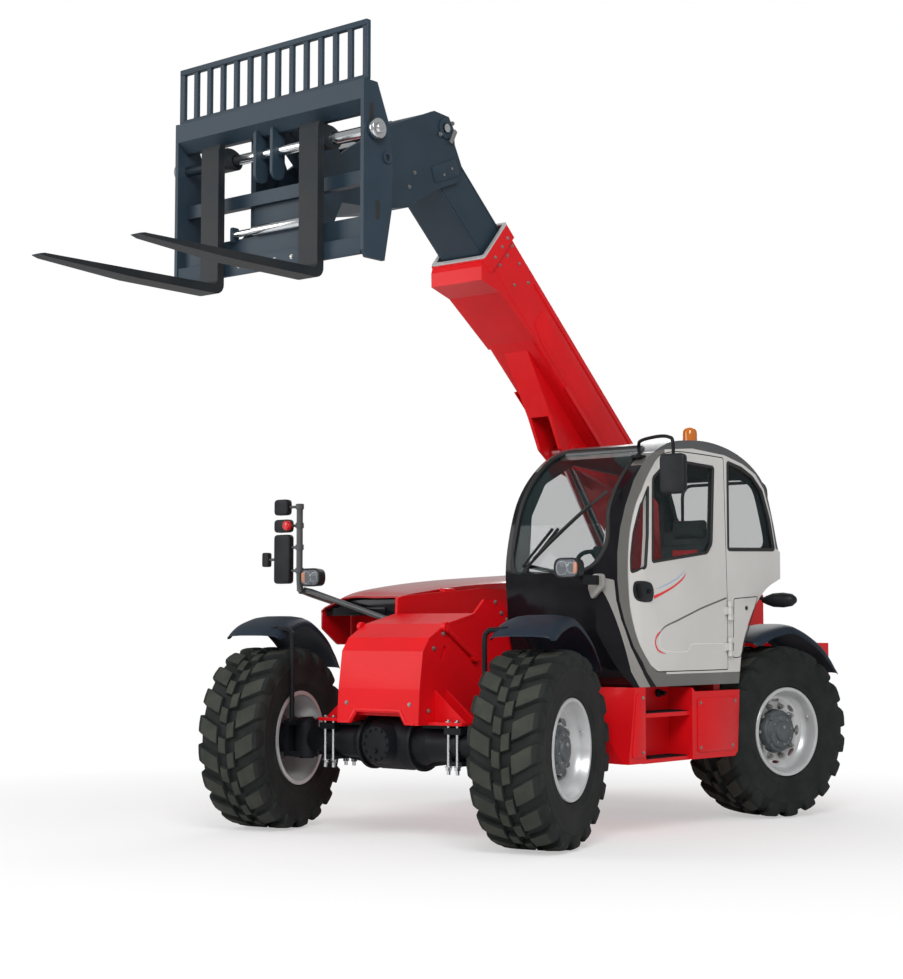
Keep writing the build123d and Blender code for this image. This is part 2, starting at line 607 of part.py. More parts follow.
# ================= cab =================
CAB_SIDE = [
    (860, 935), (745, 1050), (665, 1250), (645, 1420), (622, 1650), (650, 1850), (722, 2071), (820, 2220),
    (958, 2348), (1110, 2440), (1294, 2506), (1600, 2535), (1850, 2525), (2090, 2480), (2305, 2396),
    (2455, 2278), (2552, 2075), (2625, 1868), (2658, 1834), (2658, 1648), (2460, 1573), (2279, 1422),
    (2141, 1190), (2085, 935),
]
CAB_FRONT_CURVE = [(CAB_INNER_X, 560), (600, 562), (850, 590), (1040, 655), (1150, 760), (CAB_OUTER_X, 930)]
DOOR_OUTLINE = [
    (1176, 2416), (1005, 2286), (879, 2161), (806, 2042), (770, 1844), (775, 1614), (818, 1409),
    (927, 1179), (1092, 1020), (1934, 1020), (1945, 1515), (1906, 2444), (1528, 2456),
]
DOOR_WINDOW = [(1048, 1722), (1700, 1800), (1758, 1862), (1790, 2372), (1300, 2385), (1195, 2345), (1060, 2255)]
QUARTER_WINDOW = [(812, 1642), (972, 1682), (1002, 1900), (1008, 2215), (900, 2072), (832, 1900), (808, 1756)]
REAR_SIDE_WINDOW = [(1965, 1830), (2575, 1848), (2510, 2060), (2412, 2248), (2290, 2336), (2150, 2386), (1965, 2418)]
WINDSCREEN = [(400, 1640), (1010, 1660), (1100, 1820), (1100, 2470), (400, 2470)]
REAR_WINDOW = [(430, 1850), (1120, 1850), (1120, 2330), (430, 2330)]
INNER_SIDE_WINDOW = [(820, 1650), (2450, 1700), (2405, 2200), (2190, 2345), (1330, 2400), (1000, 2250), (850, 2030)]


def cab_envelope(inset, roof_inset):
    """The cab's outer form moved inward: its side outline crossed with its curved plan."""
    with BuildPart() as envelope:
        with BuildSketch(side_plane(CAB_INNER_X + inset)):
            with BuildLine():
                Polyline(*CAB_SIDE, close=True)
            make_face()
            offset(amount=-inset - roof_inset, kind=Kind.INTERSECTION)
        extrude(amount=CAB_OUTER_X - CAB_INNER_X - 2 * inset)
        with BuildSketch(plan_plane(800)):
            with BuildLine():
                Polyline(*CAB_FRONT_CURVE, (CAB_OUTER_X, 2750), (CAB_INNER_X, 2750), close=True)
            make_face()
            offset(amount=-inset, kind=Kind.INTERSECTION)
        extrude(amount=1800, mode=Mode.INTERSECT)
    return envelope.part


def side_prism(outline, near_x, far_x, grow=0):
    """A prism of a side outline between two X places, its outline moved outward by grow."""
    with BuildPart() as prism:
        with BuildSketch(side_plane(near_x)):
            with BuildLine():
                Polyline(*outline, close=True)
            make_face()
            if grow:
                offset(amount=grow, kind=Kind.INTERSECTION)
        extrude(amount=far_x - near_x)
    return prism.part


def front_prism(outline, from_behind, to_behind, grow=0):
    """A prism of a front outline between two places along the machine."""
    with BuildPart() as prism:
        with BuildSketch(front_plane(to_behind)):
            with BuildLine():
                Polyline(*outline, close=True)
            make_face()
            if grow:
                offset(amount=grow, kind=Kind.INTERSECTION)
        extrude(amount=to_behind - from_behind)
    return prism.part


CAB_MID_X = (CAB_INNER_X + CAB_OUTER_X) / 2
window_cuts = [
    side_prism(QUARTER_WINDOW, CAB_MID_X, CAB_OUTER_X + 50),
    side_prism(DOOR_WINDOW, CAB_MID_X, CAB_OUTER_X + 50),
]
frame_cuts = [
    side_prism(REAR_SIDE_WINDOW, CAB_MID_X, CAB_OUTER_X + 50),
    side_prism(INNER_SIDE_WINDOW, CAB_INNER_X - 50, CAB_MID_X),
    front_prism(WINDSCREEN, 400, 1150),
    front_prism(REAR_WINDOW, 2300, 2750),
]
shell = cab_envelope(0, 0) - cab_envelope(CAB_WALL, 0)
glass_skin = cab_envelope(10, 0) - cab_envelope(10 + GLASS_THICKNESS, 0)
door_zone = side_prism(DOOR_OUTLINE, CAB_MID_X + 200, CAB_OUTER_X + 50)
door_zone_inner = side_prism(DOOR_OUTLINE, CAB_MID_X + 200, CAB_OUTER_X + 50, -PANEL_GAP)

DOOR_HINGE = (CAB_OUTER_X + 16, 1950)
DOOR_HINGE_HEIGHTS = (1180, 1420)
BEACON_PLACE = (CAB_MID_X + 140, FRONT_AXLE_Y + 1950, 2532)
with BuildPart() as cab_frame:
    add(shell)
    for cut in frame_cuts:
        add(cut, mode=Mode.SUBTRACT)
    add(door_zone, mode=Mode.SUBTRACT)
    # Door hinges on the pillar behind the door, each with its pin.
    for height in DOOR_HINGE_HEIGHTS:
        for start in (height - 60, height + HINGE_KNUCKLE / 2 + 1):
            with BuildSketch(plan_plane(start)):
                with Locations(DOOR_HINGE):
                    Circle(HINGE_BARREL_RADIUS)
                with Locations((DOOR_HINGE[0] - 9, DOOR_HINGE[1] + 22)):
                    Rectangle(18, 44)
            extrude(amount=60 - HINGE_KNUCKLE / 2 - 1)
        with BuildSketch(plan_plane(height - 60)):
            with Locations(DOOR_HINGE):
                Circle(HINGE_PIN_RADIUS)
        extrude(amount=120)
    # Flat pad on the roof for the beacon.
    with Locations(BEACON_PLACE):
        Cylinder(72, 40, align=(Align.CENTER, Align.CENTER, Align.MAX))
finish(cab_frame.part, "cab_frame")

with BuildPart() as door_frame:
    add(shell)
    add(door_zone_inner, mode=Mode.INTERSECT)
    for cut in window_cuts:
        add(cut, mode=Mode.SUBTRACT)
    for height in DOOR_HINGE_HEIGHTS:
        with BuildSketch(plan_plane(height - HINGE_KNUCKLE / 2)):
            with Locations(DOOR_HINGE):
                Circle(HINGE_BARREL_RADIUS)
            with Locations((DOOR_HINGE[0] - 9, DOOR_HINGE[1] - 33)):
                Rectangle(18, 22)
            with Locations((DOOR_HINGE[0] - 6, DOOR_HINGE[1] - 13)):
                Rectangle(12, 26)
            with Locations(DOOR_HINGE):
                Circle(HINGE_PIN_RADIUS + RUNNING_CLEARANCE, mode=Mode.SUBTRACT)
        extrude(amount=HINGE_KNUCKLE)
finish(door_frame.part, "door_frame")

with BuildPart() as cab_glass:
    for outline in (REAR_SIDE_WINDOW,):
        add(glass_skin & side_prism(outline, CAB_MID_X, CAB_OUTER_X + 50, -SEAT_GAP))
    add(glass_skin & side_prism(INNER_SIDE_WINDOW, CAB_INNER_X - 50, CAB_MID_X, -SEAT_GAP))
    add(glass_skin & front_prism(WINDSCREEN, 400, 1150, -SEAT_GAP))
    add(glass_skin & front_prism(REAR_WINDOW, 2300, 2750, -SEAT_GAP))
finish(cab_glass.part, "cab_glass")

with BuildPart() as door_glass:
    for outline in (QUARTER_WINDOW, DOOR_WINDOW):
        add(glass_skin & side_prism(outline, CAB_MID_X, CAB_OUTER_X + 50, -SEAT_GAP))
finish(door_glass.part, "door_glass")

CAB_FLOOR_TOP = 935 + CAB_WALL
SEAT_MID_X = CAB_MID_X
STEERING_HUB = (SEAT_MID_X, FRONT_AXLE_Y + 1130, 1690)
WHEEL_TILT = 35
COLUMN_RADIUS = 32
COLUMN_LENGTH = 180
steering_plane = Plane(
    origin=STEERING_HUB,
    x_dir=(1, 0, 0),
    z_dir=(0, sin(radians(WHEEL_TILT)), cos(radians(WHEEL_TILT))),
)
with BuildPart() as dashboard:
    with BuildSketch(side_plane(CAB_INNER_X + CAB_WALL + 40)):
        with BuildLine():
            Polyline((930, CAB_FLOOR_TOP + SEAT_GAP), (1030, CAB_FLOOR_TOP + SEAT_GAP), (980, 1450),
                     (1060, 1620), (1040, 1660), (780, 1600), (800, 1150), close=True)
        make_face()
    extrude(amount=560)
    # Bore for the steering column.
    with BuildSketch(steering_plane.offset(-200)):
        Circle(COLUMN_RADIUS + SEAT_GAP)
    extrude(amount=200, mode=Mode.SUBTRACT)
finish(dashboard.part, "dashboard")

with BuildPart() as steering_wheel:
    with BuildSketch(Plane(origin=STEERING_HUB, x_dir=(1, 0, 0), z_dir=(0, -cos(radians(WHEEL_TILT)), sin(radians(WHEEL_TILT))))):
        with Locations((185, 0)):
            Circle(14)
    revolve(axis=Axis(STEERING_HUB, steering_plane.z_dir))
    with BuildSketch(steering_plane.offset(-12)):
        Circle(45)
        with PolarLocations(0, 3):
            with Locations((92, 0)):
                Rectangle(184, 26)
    extrude(amount=20)
    with BuildSketch(steering_plane.offset(-COLUMN_LENGTH)):
        Circle(COLUMN_RADIUS)
    extrude(amount=COLUMN_LENGTH)
finish(steering_wheel.part, "steering_wheel")

with BuildPart() as operator_seat:
    with BuildSketch(side_plane(SEAT_MID_X - 240)):
        with BuildLine():
            Polyline((1560, CAB_FLOOR_TOP + SEAT_GAP), (2000, CAB_FLOOR_TOP + SEAT_GAP), (2010, 1380),
                     (2130, 1400), (2200, 1700), (2210, 2060), (2110, 2070), (2030, 1560),
                     (1980, 1510), (1560, 1530), (1500, 1480), (1510, 1400), (1570, 1380), close=True)
        make_face()
    extrude(amount=480)
finish(operator_seat.part, "operator_seat")

with BuildPart() as beacon:
    with Locations((BEACON_PLACE[0], BEACON_PLACE[1], BEACON_PLACE[2] + SEAT_GAP)):
        Cylinder(60, 30, align=(Align.CENTER, Align.CENTER, Align.MIN))
        Cylinder(50, 140, align=(Align.CENTER, Align.CENTER, Align.MIN))
finish(beacon.part, "beacon")

# ================= mirrors and lamps =================
MAST_X = 1256
MAST_RADIUS = 22
MAST_FOOT = (-HOOD_OUTER_X - SEAT_GAP, FRONT_AXLE_Y + 1240, 1370)
with BuildPart() as mirror_mast:
    with BuildLine():
        FilletPolyline(
            MAST_FOOT,
            (-MAST_X, MAST_FOOT[1], MAST_FOOT[2]),
            (-MAST_X, FRONT_AXLE_Y + 380, 1566),
            (-MAST_X, FRONT_AXLE_Y + 380, 2160),
            radius=60,
        )
    with BuildSketch(Plane(origin=MAST_FOOT, z_dir=(-1, 0, 0))):
        Circle(MAST_RADIUS)
    sweep()
    # Mirror heads: a tall main glass and two small ones above it.
    for height, depth, width in ((1780, 340, 150), (2010, 90, 150), (2140, 110, 130)):
        with BuildSketch(front_plane(400)):
            with Locations((-MIRROR_REACH + 200 + width / 2 - 70, height)):
                RectangleRounded(width, depth, 15)
        extrude(amount=55)
        with Locations((-MAST_X - 60, FRONT_AXLE_Y + 375, height)):
            Box(120, 24, 24)
    with BuildSketch(front_plane(400)):
        with Locations((-MIRROR_REACH + 30, 1780)):
            RectangleRounded(60, 100, 15)
    extrude(amount=40)
    with Locations((-MIRROR_REACH + 90, FRONT_AXLE_Y + 380, 1780)):
        Box(120, 20, 20)
finish(mirror_mast.part, "mirror_mast")

MIRROR_MIDDLE_X = MIRROR_REACH - 90
MIRROR_BEHIND = 810
ARM_FOOT = (1135, FRONT_AXLE_Y + 1010, 2387)
with BuildPart() as cab_mirror:
    with BuildLine():
        FilletPolyline(
            ARM_FOOT,
            (ARM_FOOT[0], ARM_FOOT[1], 2470),
            (1300, FRONT_AXLE_Y + MIRROR_BEHIND + 20, 2490),
            (MIRROR_MIDDLE_X, FRONT_AXLE_Y + MIRROR_BEHIND, 2480),
            (MIRROR_MIDDLE_X, FRONT_AXLE_Y + MIRROR_BEHIND, 2300),
            radius=40,
        )
    with BuildSketch(Plane(origin=ARM_FOOT, z_dir=(0, 0, 1))):
        Circle(11)
    sweep()
    with BuildSketch(front_plane(MIRROR_BEHIND + 25)):
        with Locations((MIRROR_MIDDLE_X, 2250)):
            RectangleRounded(180, 250, 20)
    extrude(amount=50)
finish(cab_mirror.part, "cab_mirror")

LAMP_HEIGHT = 1670
LAMP_FRONT = 342
LAMP_BRACKET_FOOT = 673.5
with BuildPart() as headlamps:
    # The left lamp stands on the cab's corner, the right one on the mast.
    with BuildSketch(front_plane(LAMP_FRONT + 110)):
        with Locations((1030, LAMP_HEIGHT)):
            RectangleRounded(190, 125, 50)
    extrude(amount=110)
    with BuildSketch(front_plane(LAMP_BRACKET_FOOT)):
        with Locations((1075, 1600)):
            Rectangle(30, 60)
    extrude(amount=LAMP_BRACKET_FOOT - LAMP_FRONT - 105)
    with BuildSketch(front_plane(LAMP_FRONT + 110)):
        with Locations((-MAST_X + MAST_RADIUS + 95 + SEAT_GAP, 1650)):
            RectangleRounded(190, 125, 50)
    extrude(amount=110)
finish(headlamps.part, "headlamps")

with BuildPart() as rear_lamps:
    for side in (-1, 1):
        with BuildSketch(front_plane(REAR_END - 10)):
            with Locations((side * 610, FRAME_BOTTOM_AT_AXLE + WEIGHT_DEPTH - 90)):
                RectangleRounded(150, 80, 12)
        extrude(amount=50 - SEAT_GAP)
finish(rear_lamps.part, "rear_lamps")

# ================= boom =================
LUG_HALF_GAP = 75
LUG_PLATE = 25
# Along and square to the boom: the flare ahead of the lift lugs, and the chin under the mouth.
BELLY_FLARE = [(1990, -428), (2220, -340), (2720, BOOM_BOTTOM_OFFSET + 5)]
CHIN_PROFILE = [(2745, BOOM_BOTTOM_OFFSET + 4), (3257, -254), (3434, -338), (3496, -271),
                (COLLAR_REACH, -225), (COLLAR_REACH, BOOM_BOTTOM_OFFSET + 4)]
with BuildPart() as outer_boom:
    with BuildSketch(boom_section_plane(-BOOM_TAIL)):
        with Locations((0, BOOM_MID_OFFSET)):
            RectangleRounded(BOOM_WIDTH, BOOM_DEPTH, 30)
            RectangleRounded(BOOM_WIDTH - 2 * BOOM_WALL, BOOM_DEPTH - 2 * BOOM_WALL, 20, mode=Mode.SUBTRACT)
    extrude(amount=BOOM_TAIL + COLLAR_REACH)
    # Collar band round the mouth.
    with BuildSketch(boom_section_plane(COLLAR_REACH - 110)):
        with Locations((0, BOOM_MID_OFFSET - 15)):
            RectangleRounded(BOOM_WIDTH + 40, BOOM_DEPTH + 50, 30)
        with Locations((0, BOOM_MID_OFFSET)):
            RectangleRounded(BOOM_WIDTH - 2 * BOOM_WALL, BOOM_DEPTH - 2 * BOOM_WALL, 20, mode=Mode.SUBTRACT)
    extrude(amount=110)
    # Lift lugs under the belly: two tapered plates with the cylinder eye between them.
    for x in (-LUG_HALF_GAP - LUG_PLATE, LUG_HALF_GAP):
        with BuildSketch(boom_side_plane().offset(-x - LUG_PLATE)):
            with BuildLine():
                Polyline((1350, BOOM_BOTTOM_OFFSET + 5), (LIFT_LUG[0] - 80, LIFT_LUG[1] - 70),
                         *BELLY_FLARE, close=True)
            make_face()
        extrude(amount=LUG_PLATE)
    # The flare's closing plate, ahead of the cylinder's eye.
    with BuildSketch(boom_side_plane()):
        with BuildLine():
            Polyline(*BELLY_FLARE[1:], (BELLY_FLARE[-1][0] - 70, BOOM_BOTTOM_OFFSET + 5),
                     (BELLY_FLARE[1][0] - 12, BELLY_FLARE[1][1] + 14), close=True)
        make_face()
    extrude(amount=LUG_HALF_GAP + 1, both=True)
    # Chin under the mouth, stepped down from the belly.
    with BuildSketch(boom_side_plane()):
        with BuildLine():
            Polyline(*CHIN_PROFILE, close=True)
        make_face()
    extrude(amount=BOOM_WIDTH / 2 + 5, both=True)
    # Pivot tube through the tail.
    with BuildSketch(boom_side_plane()):
        Circle(PIVOT_PIN_RADIUS + 30)
    extrude(amount=FRAME_INNER - 8, both=True)
    with BuildSketch(boom_side_plane()):
        Circle(PIVOT_PIN_RADIUS + RUNNING_CLEARANCE)
    extrude(amount=FRAME_INNER, both=True, mode=Mode.SUBTRACT)
finish(outer_boom.part, "outer_boom")

with BuildPart() as wear_pads:
    # Pads between the two booms, bolted to the outer one's mouth.
    pad_side = (BOOM_WIDTH - 2 * BOOM_WALL - INNER_BOOM_WIDTH) / 2
    pad_level = (BOOM_DEPTH - 2 * BOOM_WALL - INNER_BOOM_DEPTH) / 2
    with BuildSketch(boom_section_plane(COLLAR_REACH - 160)):
        for way in (-1, 1):
            with Locations((way * (INNER_BOOM_WIDTH / 2 + pad_side / 2), BOOM_MID_OFFSET)):
                Rectangle(pad_side - 2 * SEAT_GAP, 160)
            with Locations((0, BOOM_MID_OFFSET + way * (INNER_BOOM_DEPTH / 2 + pad_level / 2))):
                Rectangle(220, pad_level - 2 * SEAT_GAP)
    extrude(amount=150)
finish(wear_pads.part, "wear_pads")

with BuildPart() as inner_boom:
    with BuildSketch(boom_section_plane(INNER_BOOM_START)):
        with Locations((0, BOOM_MID_OFFSET)):
            RectangleRounded(INNER_BOOM_WIDTH, INNER_BOOM_DEPTH, 24)
            RectangleRounded(INNER_BOOM_WIDTH - 2 * INNER_BOOM_WALL, INNER_BOOM_DEPTH - 2 * INNER_BOOM_WALL,
                             14, mode=Mode.SUBTRACT)
    extrude(amount=INNER_BOOM_END - INNER_BOOM_START)
finish(inner_boom.part, "inner_boom")

# Gooseneck head: two side plates, crown and belly plates, ending at the carriage pivot.
CARRIAGE_PIVOT = (-CARRIAGE_PIVOT_FORWARD, CARRIAGE_PIVOT_HEIGHT)
TILT_BASE = boom_point(4315, 131)
TILT_TOP = (CARRIAGE_PIVOT[0] - 20, CARRIAGE_PIVOT[1] + 200)
TILT_LUG_HALF_GAP = 55
HEAD_PLATE = 28
HEAD_INNER = INNER_BOOM_WIDTH / 2 + SEAT_GAP
HEAD_OUTER = HEAD_INNER + HEAD_PLATE
CARRIAGE_PIN_RADIUS = 38
HEAD_OUTLINE = [
    (367, 4297), (300, 4420), (290, 4520), (240, 4590), (95, 4600), (-338, 4412), (-700, 4200),
    (-900, 4050), (-925, 3950), (-880, 3870), (-790, 3850), (-428, 3874), (-157, 3929), (95, 4083),
    (330, 4180),
]
with BuildPart() as boom_head:
    for x in (-HEAD_OUTER, HEAD_INNER):
        with BuildSketch(side_plane(x)):
            with BuildLine():
                Polyline(*HEAD_OUTLINE, close=True)
            make_face()
            with Locations(CARRIAGE_PIVOT):
                Circle(CARRIAGE_PIN_RADIUS + RUNNING_CLEARANCE, mode=Mode.SUBTRACT)
            with Locations(TILT_BASE):
                Circle(TILT_PIN_RADIUS + RUNNING_CLEARANCE, mode=Mode.SUBTRACT)
        extrude(amount=HEAD_PLATE)
    with BuildSketch(side_plane(-HEAD_INNER)):
        with BuildLine():
            Polyline((20, 4567), (-150, 4493), (-144, 4477), (26, 4551), close=True)
        make_face()
        with BuildLine():
            Polyline((-790, 3850), (-428, 3874), (-157, 3929), (60, 4060), (52, 4074), (-163, 3945),
                     (-428, 3890), (-760, 3868), close=True)
        make_face()
    extrude(amount=2 * HEAD_INNER)
finish(boom_head.part, "boom_head")

with BuildPart() as head_pins:
    for place, radius, half in (
        (CARRIAGE_PIVOT, CARRIAGE_PIN_RADIUS, HEAD_OUTER + 70),
        (TILT_BASE, TILT_PIN_RADIUS, HEAD_OUTER + 18),
    ):
        with BuildSketch(side_plane(-half)):
            with Locations(place):
                Circle(radius)
        extrude(amount=2 * half)
finish(head_pins.part, "head_pins")


# ================= cylinders =================
def cylinder_plane(foot, top):
    """A side plane from a cylinder's foot pin, its sketch x running to the rod's pin."""
    run = Vector(0, top[0] - foot[0], top[1] - foot[1]).normalized()
    return Plane(origin=(0, FRONT_AXLE_Y + foot[0], foot[1]), x_dir=run, z_dir=(-1, 0, 0))


# Cylinder: name, foot, rod pin, barrel, rod and pin radii, barrel length, half widths of its foot,
# of its rod's eye and of the gap between the lugs, which the eye's own pin fills.
Cyl = namedtuple("Cyl", "name foot top barrel rod pin length foot_half eye_half lug_half_gap")
CYLINDERS = [
    Cyl("lift", LIFT_BASE, boom_point(*LIFT_LUG), LIFT_BARREL_RADIUS, LIFT_ROD_RADIUS, LIFT_PIN_RADIUS,
        1230, 60, LUG_HALF_GAP - 15, LUG_HALF_GAP),
    Cyl("tilt", TILT_BASE, TILT_TOP, TILT_BARREL_RADIUS, TILT_ROD_RADIUS, TILT_PIN_RADIUS,
        640, 50, TILT_LUG_HALF_GAP - 10, TILT_LUG_HALF_GAP),
]
for cyl in CYLINDERS:
    plane = cylinder_plane(cyl.foot, cyl.top)
    stroke_pin = hypot(cyl.top[0] - cyl.foot[0], cyl.top[1] - cyl.foot[1])
    bore = cyl.barrel - 14
    wall_start = cyl.pin + 45
    gland = 50
    with BuildPart() as barrel:
        with BuildSketch(plane):
            Circle(cyl.pin + 28)
        extrude(amount=cyl.foot_half, both=True)
        across = Plane(origin=plane.origin, x_dir=(1, 0, 0), z_dir=plane.x_dir)
        with BuildSketch(across.offset(cyl.pin)):
            Circle(cyl.barrel * 0.7)
        extrude(amount=wall_start - cyl.pin)
        with BuildSketch(across.offset(wall_start)):
            Circle(cyl.barrel)
        extrude(amount=cyl.length - wall_start)
        with BuildSketch(across.offset(wall_start + 25)):
            Circle(bore)
        extrude(amount=cyl.length - wall_start - 25 - gland, mode=Mode.SUBTRACT)
        with BuildSketch(across.offset(wall_start)):
            Circle(cyl.rod + RUNNING_CLEARANCE)
        extrude(amount=cyl.length, mode=Mode.SUBTRACT)
        with BuildSketch(across.offset(wall_start)):
            Circle(cyl.barrel)
        extrude(amount=25)
        with BuildSketch(plane):
            Circle(cyl.pin + RUNNING_CLEARANCE)
        extrude(amount=cyl.foot_half, both=True, mode=Mode.SUBTRACT)
    finish(barrel.part, f"{cyl.name}_barrel")
    with BuildPart() as rod:
        with BuildSketch(across.offset(cyl.length - 300)):
            Circle(cyl.rod)
        extrude(amount=stroke_pin - cyl.length + 300 - cyl.pin)
        with BuildSketch(across.offset(cyl.length - 300)):
            Circle(bore - RUNNING_CLEARANCE)
        extrude(amount=60)
        eye_plane = Plane(origin=plane.from_local_coords((stroke_pin, 0, 0)), x_dir=plane.x_dir, z_dir=(-1, 0, 0))
        with BuildSketch(eye_plane):
            Circle(cyl.pin + 26)
        extrude(amount=cyl.eye_half, both=True)
        with BuildSketch(eye_plane):
            Circle(cyl.pin)
        extrude(amount=cyl.lug_half_gap - SEAT_GAP, both=True)
    finish(rod.part, f"{cyl.name}_rod")

# ================= carriage and forks =================
SIDE_PLATE_OUTLINE = [
    (-1215, 4400), (-1100, 4400), (-1005, 4190), (-969, 3976), (-977, 3673), (-1036, 3381),
    (-1187, 3381), (-1215, 3420),
]
CARRIAGE_HALF = CARRIAGE_WIDTH / 2
CARRIAGE_FACE = -1215
SHAFT_PLACE = (-1130, 4120)
CARRIAGE_PLATE = 25
SHAFT_LUGS = (-125, 15)
with BuildPart() as carriage_frame:
    for x in (-CARRIAGE_HALF, CARRIAGE_HALF - CARRIAGE_PLATE):
        with BuildSketch(side_plane(x)):
            with BuildLine():
                Polyline(*SIDE_PLATE_OUTLINE, close=True)
            make_face()
            with Locations(SHAFT_PLACE):
                Circle(FORK_SHAFT_RADIUS + RUNNING_CLEARANCE, mode=Mode.SUBTRACT)
        extrude(amount=CARRIAGE_PLATE)
    # Cross beams: top, shaft hanger and the lower pair that the fork heels rest on.
    inside = CARRIAGE_WIDTH - 2 * CARRIAGE_PLATE
    for behind, height, length, depth in ((-1120, 3560, 90, 130), (-1110, 3860, 50, 80)):
        with BuildSketch(side_plane(-inside / 2)):
            with Locations((behind, height)):
                Rectangle(length, depth)
        extrude(amount=inside)
    with BuildSketch(side_plane(-inside / 2)):
        with BuildLine():
            Polyline((CARRIAGE_FACE, 4396), (CARRIAGE_FACE, 4285), (-1150, 4225), (-1105, 4225),
                     (-1105, 4396), close=True)
        make_face()
    extrude(amount=inside)
    # Back plate between the two hitch plates.
    with BuildSketch(side_plane(-HEAD_OUTER - 12)):
        with Locations((-1090, 3710)):
            Rectangle(20, 300)
    extrude(amount=2 * HEAD_OUTER + 24)
    # Centre lugs that steady the shaft.
    for x in SHAFT_LUGS:
        with BuildSketch(side_plane(x)):
            with Locations((SHAFT_PLACE[0] - 10, 4115)):
                SlotOverall(340, 104, rotation=90)
            with Locations(SHAFT_PLACE):
                Circle(FORK_SHAFT_RADIUS + RUNNING_CLEARANCE, mode=Mode.SUBTRACT)
        extrude(amount=22)
    # Hitch plates to the boom's head: either side of it, on its pin.
    for side in (-1, 1):
        x = side * (HEAD_OUTER + 10)
        with BuildSketch(side_plane(x)):
            with BuildLine():
                Polyline((CARRIAGE_PIVOT[0] + 60, CARRIAGE_PIVOT[1] + 55), (CARRIAGE_PIVOT[0] + 75, CARRIAGE_PIVOT[1]),
                         (CARRIAGE_PIVOT[0] + 40, CARRIAGE_PIVOT[1] - 65), (-1000, 3480), (-1165, 3480),
                         (-1165, 3620), (-1088, 3700), (-1088, 4240), (-1165, 4260), (-1165, 4380),
                         (-1100, 4380), (-900, 4260), close=True)
            make_face()
            with Locations(CARRIAGE_PIVOT):
                Circle(CARRIAGE_PIN_RADIUS + RUNNING_CLEARANCE, mode=Mode.SUBTRACT)
        extrude(amount=side * 40)
        # Tilt lugs on the upper beam.
        x = side * TILT_LUG_HALF_GAP
        with BuildSketch(side_plane(x)):
            with BuildLine():
                Polyline((TILT_TOP[0] + 55, TILT_TOP[1] + 40), (TILT_TOP[0] + 55, TILT_TOP[1] - 45),
                         (TILT_TOP[0] - 40, TILT_TOP[1] - 70), (-1160, 4310), (-1160, 4395),
                         (-1000, 4395), close=True)
            make_face()
        extrude(amount=side * 22)
finish(carriage_frame.part, "carriage_frame")

with BuildPart() as fork_shaft:
    with BuildSketch(side_plane(-CARRIAGE_HALF - 60)):
        with Locations(SHAFT_PLACE):
            Circle(FORK_SHAFT_RADIUS)
    extrude(amount=CARRIAGE_WIDTH + 120)
    for x in (-CARRIAGE_HALF - 45, CARRIAGE_HALF + 1):
        with BuildSketch(side_plane(x)):
            with Locations(SHAFT_PLACE):
                Circle(60)
        extrude(amount=44)
finish(fork_shaft.part, "fork_shaft")

GUARD_TOP = 4750
with BuildPart() as backrest_guard:
    with BuildSketch(front_plane(-1150)):
        with BuildLine():
            Polyline((-CARRIAGE_HALF, 4400 + SEAT_GAP), (CARRIAGE_HALF, 4400 + SEAT_GAP), (CARRIAGE_HALF, GUARD_TOP),
                     (-CARRIAGE_HALF, GUARD_TOP), close=True)
        make_face()
        bars = 14
        pitch = (CARRIAGE_WIDTH - 30) / (bars - 1)
        with GridLocations(pitch, 0, bars - 1, 1):
            with Locations((0, (4400 + GUARD_TOP) / 2)):
                Rectangle(pitch - 30, GUARD_TOP - 4400 - 60, mode=Mode.SUBTRACT)
    extrude(amount=40)
finish(backrest_guard.part, "backrest_guard")

# Forks: an upright shank behind the load face, a tapered blade, and an eye round the shaft.
FORK_BACK = CARRIAGE_FACE - 5
FORK_LOAD_FACE = FORK_BACK - FORK_HEEL_THICKNESS
BLADE_BOTTOM = 3290
BLADE_TOP = BLADE_BOTTOM + FORK_HEEL_THICKNESS
FORK_OUTLINE = [
    (FORK_BACK, 4200),
    (FORK_BACK, BLADE_BOTTOM + 30),
    (FORK_BACK - 30, BLADE_BOTTOM),
    (-1900, BLADE_BOTTOM + 4),
    (-FORK_TIP_FORWARD + 30, BLADE_TOP - 22),
    (-FORK_TIP_FORWARD, BLADE_TOP - 12),
    (-FORK_TIP_FORWARD, BLADE_TOP - 4),
    (-FORK_TIP_FORWARD + 30, BLADE_TOP),
    (FORK_LOAD_FACE - 25, BLADE_TOP),
    (FORK_LOAD_FACE, BLADE_TOP + 25),
    (FORK_LOAD_FACE, 4160),
    (FORK_LOAD_FACE + 20, 4200),
]
for name, side in (("fork_left", 1), ("fork_right", -1)):
    with BuildPart() as fork:
        with BuildSketch(side_plane(side * FORK_SPACING / 2 - FORK_WIDTH / 2)):
            with BuildLine():
                Polyline(*FORK_OUTLINE, close=True)
            make_face()
        extrude(amount=FORK_WIDTH)
        # Eye at the top, open round the shaft.
        with BuildSketch(side_plane(side * FORK_SPACING / 2 - FORK_WIDTH / 2)):
            with Locations(SHAFT_PLACE):
                Circle(62)
            with Locations(((FORK_BACK - 20 + SHAFT_PLACE[0]) / 2, SHAFT_PLACE[1])):
                Rectangle(SHAFT_PLACE[0] - FORK_BACK + 20, 110)
        extrude(amount=FORK_WIDTH)
        with BuildSketch(side_plane(side * FORK_SPACING / 2 - FORK_WIDTH / 2)):
            with Locations(SHAFT_PLACE):
                Circle(FORK_SHAFT_RADIUS + RUNNING_CLEARANCE)
        extrude(amount=FORK_WIDTH, mode=Mode.SUBTRACT)
    finish(fork.part, name)
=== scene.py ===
"""Telescopic handler with pallet forks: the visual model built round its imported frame."""
import json
import logging
import math
from dataclasses import dataclass, field, replace
from enum import Enum
from typing import Callable, Iterable, Sequence

import bmesh
import bpy
from mathutils import Matrix, Vector


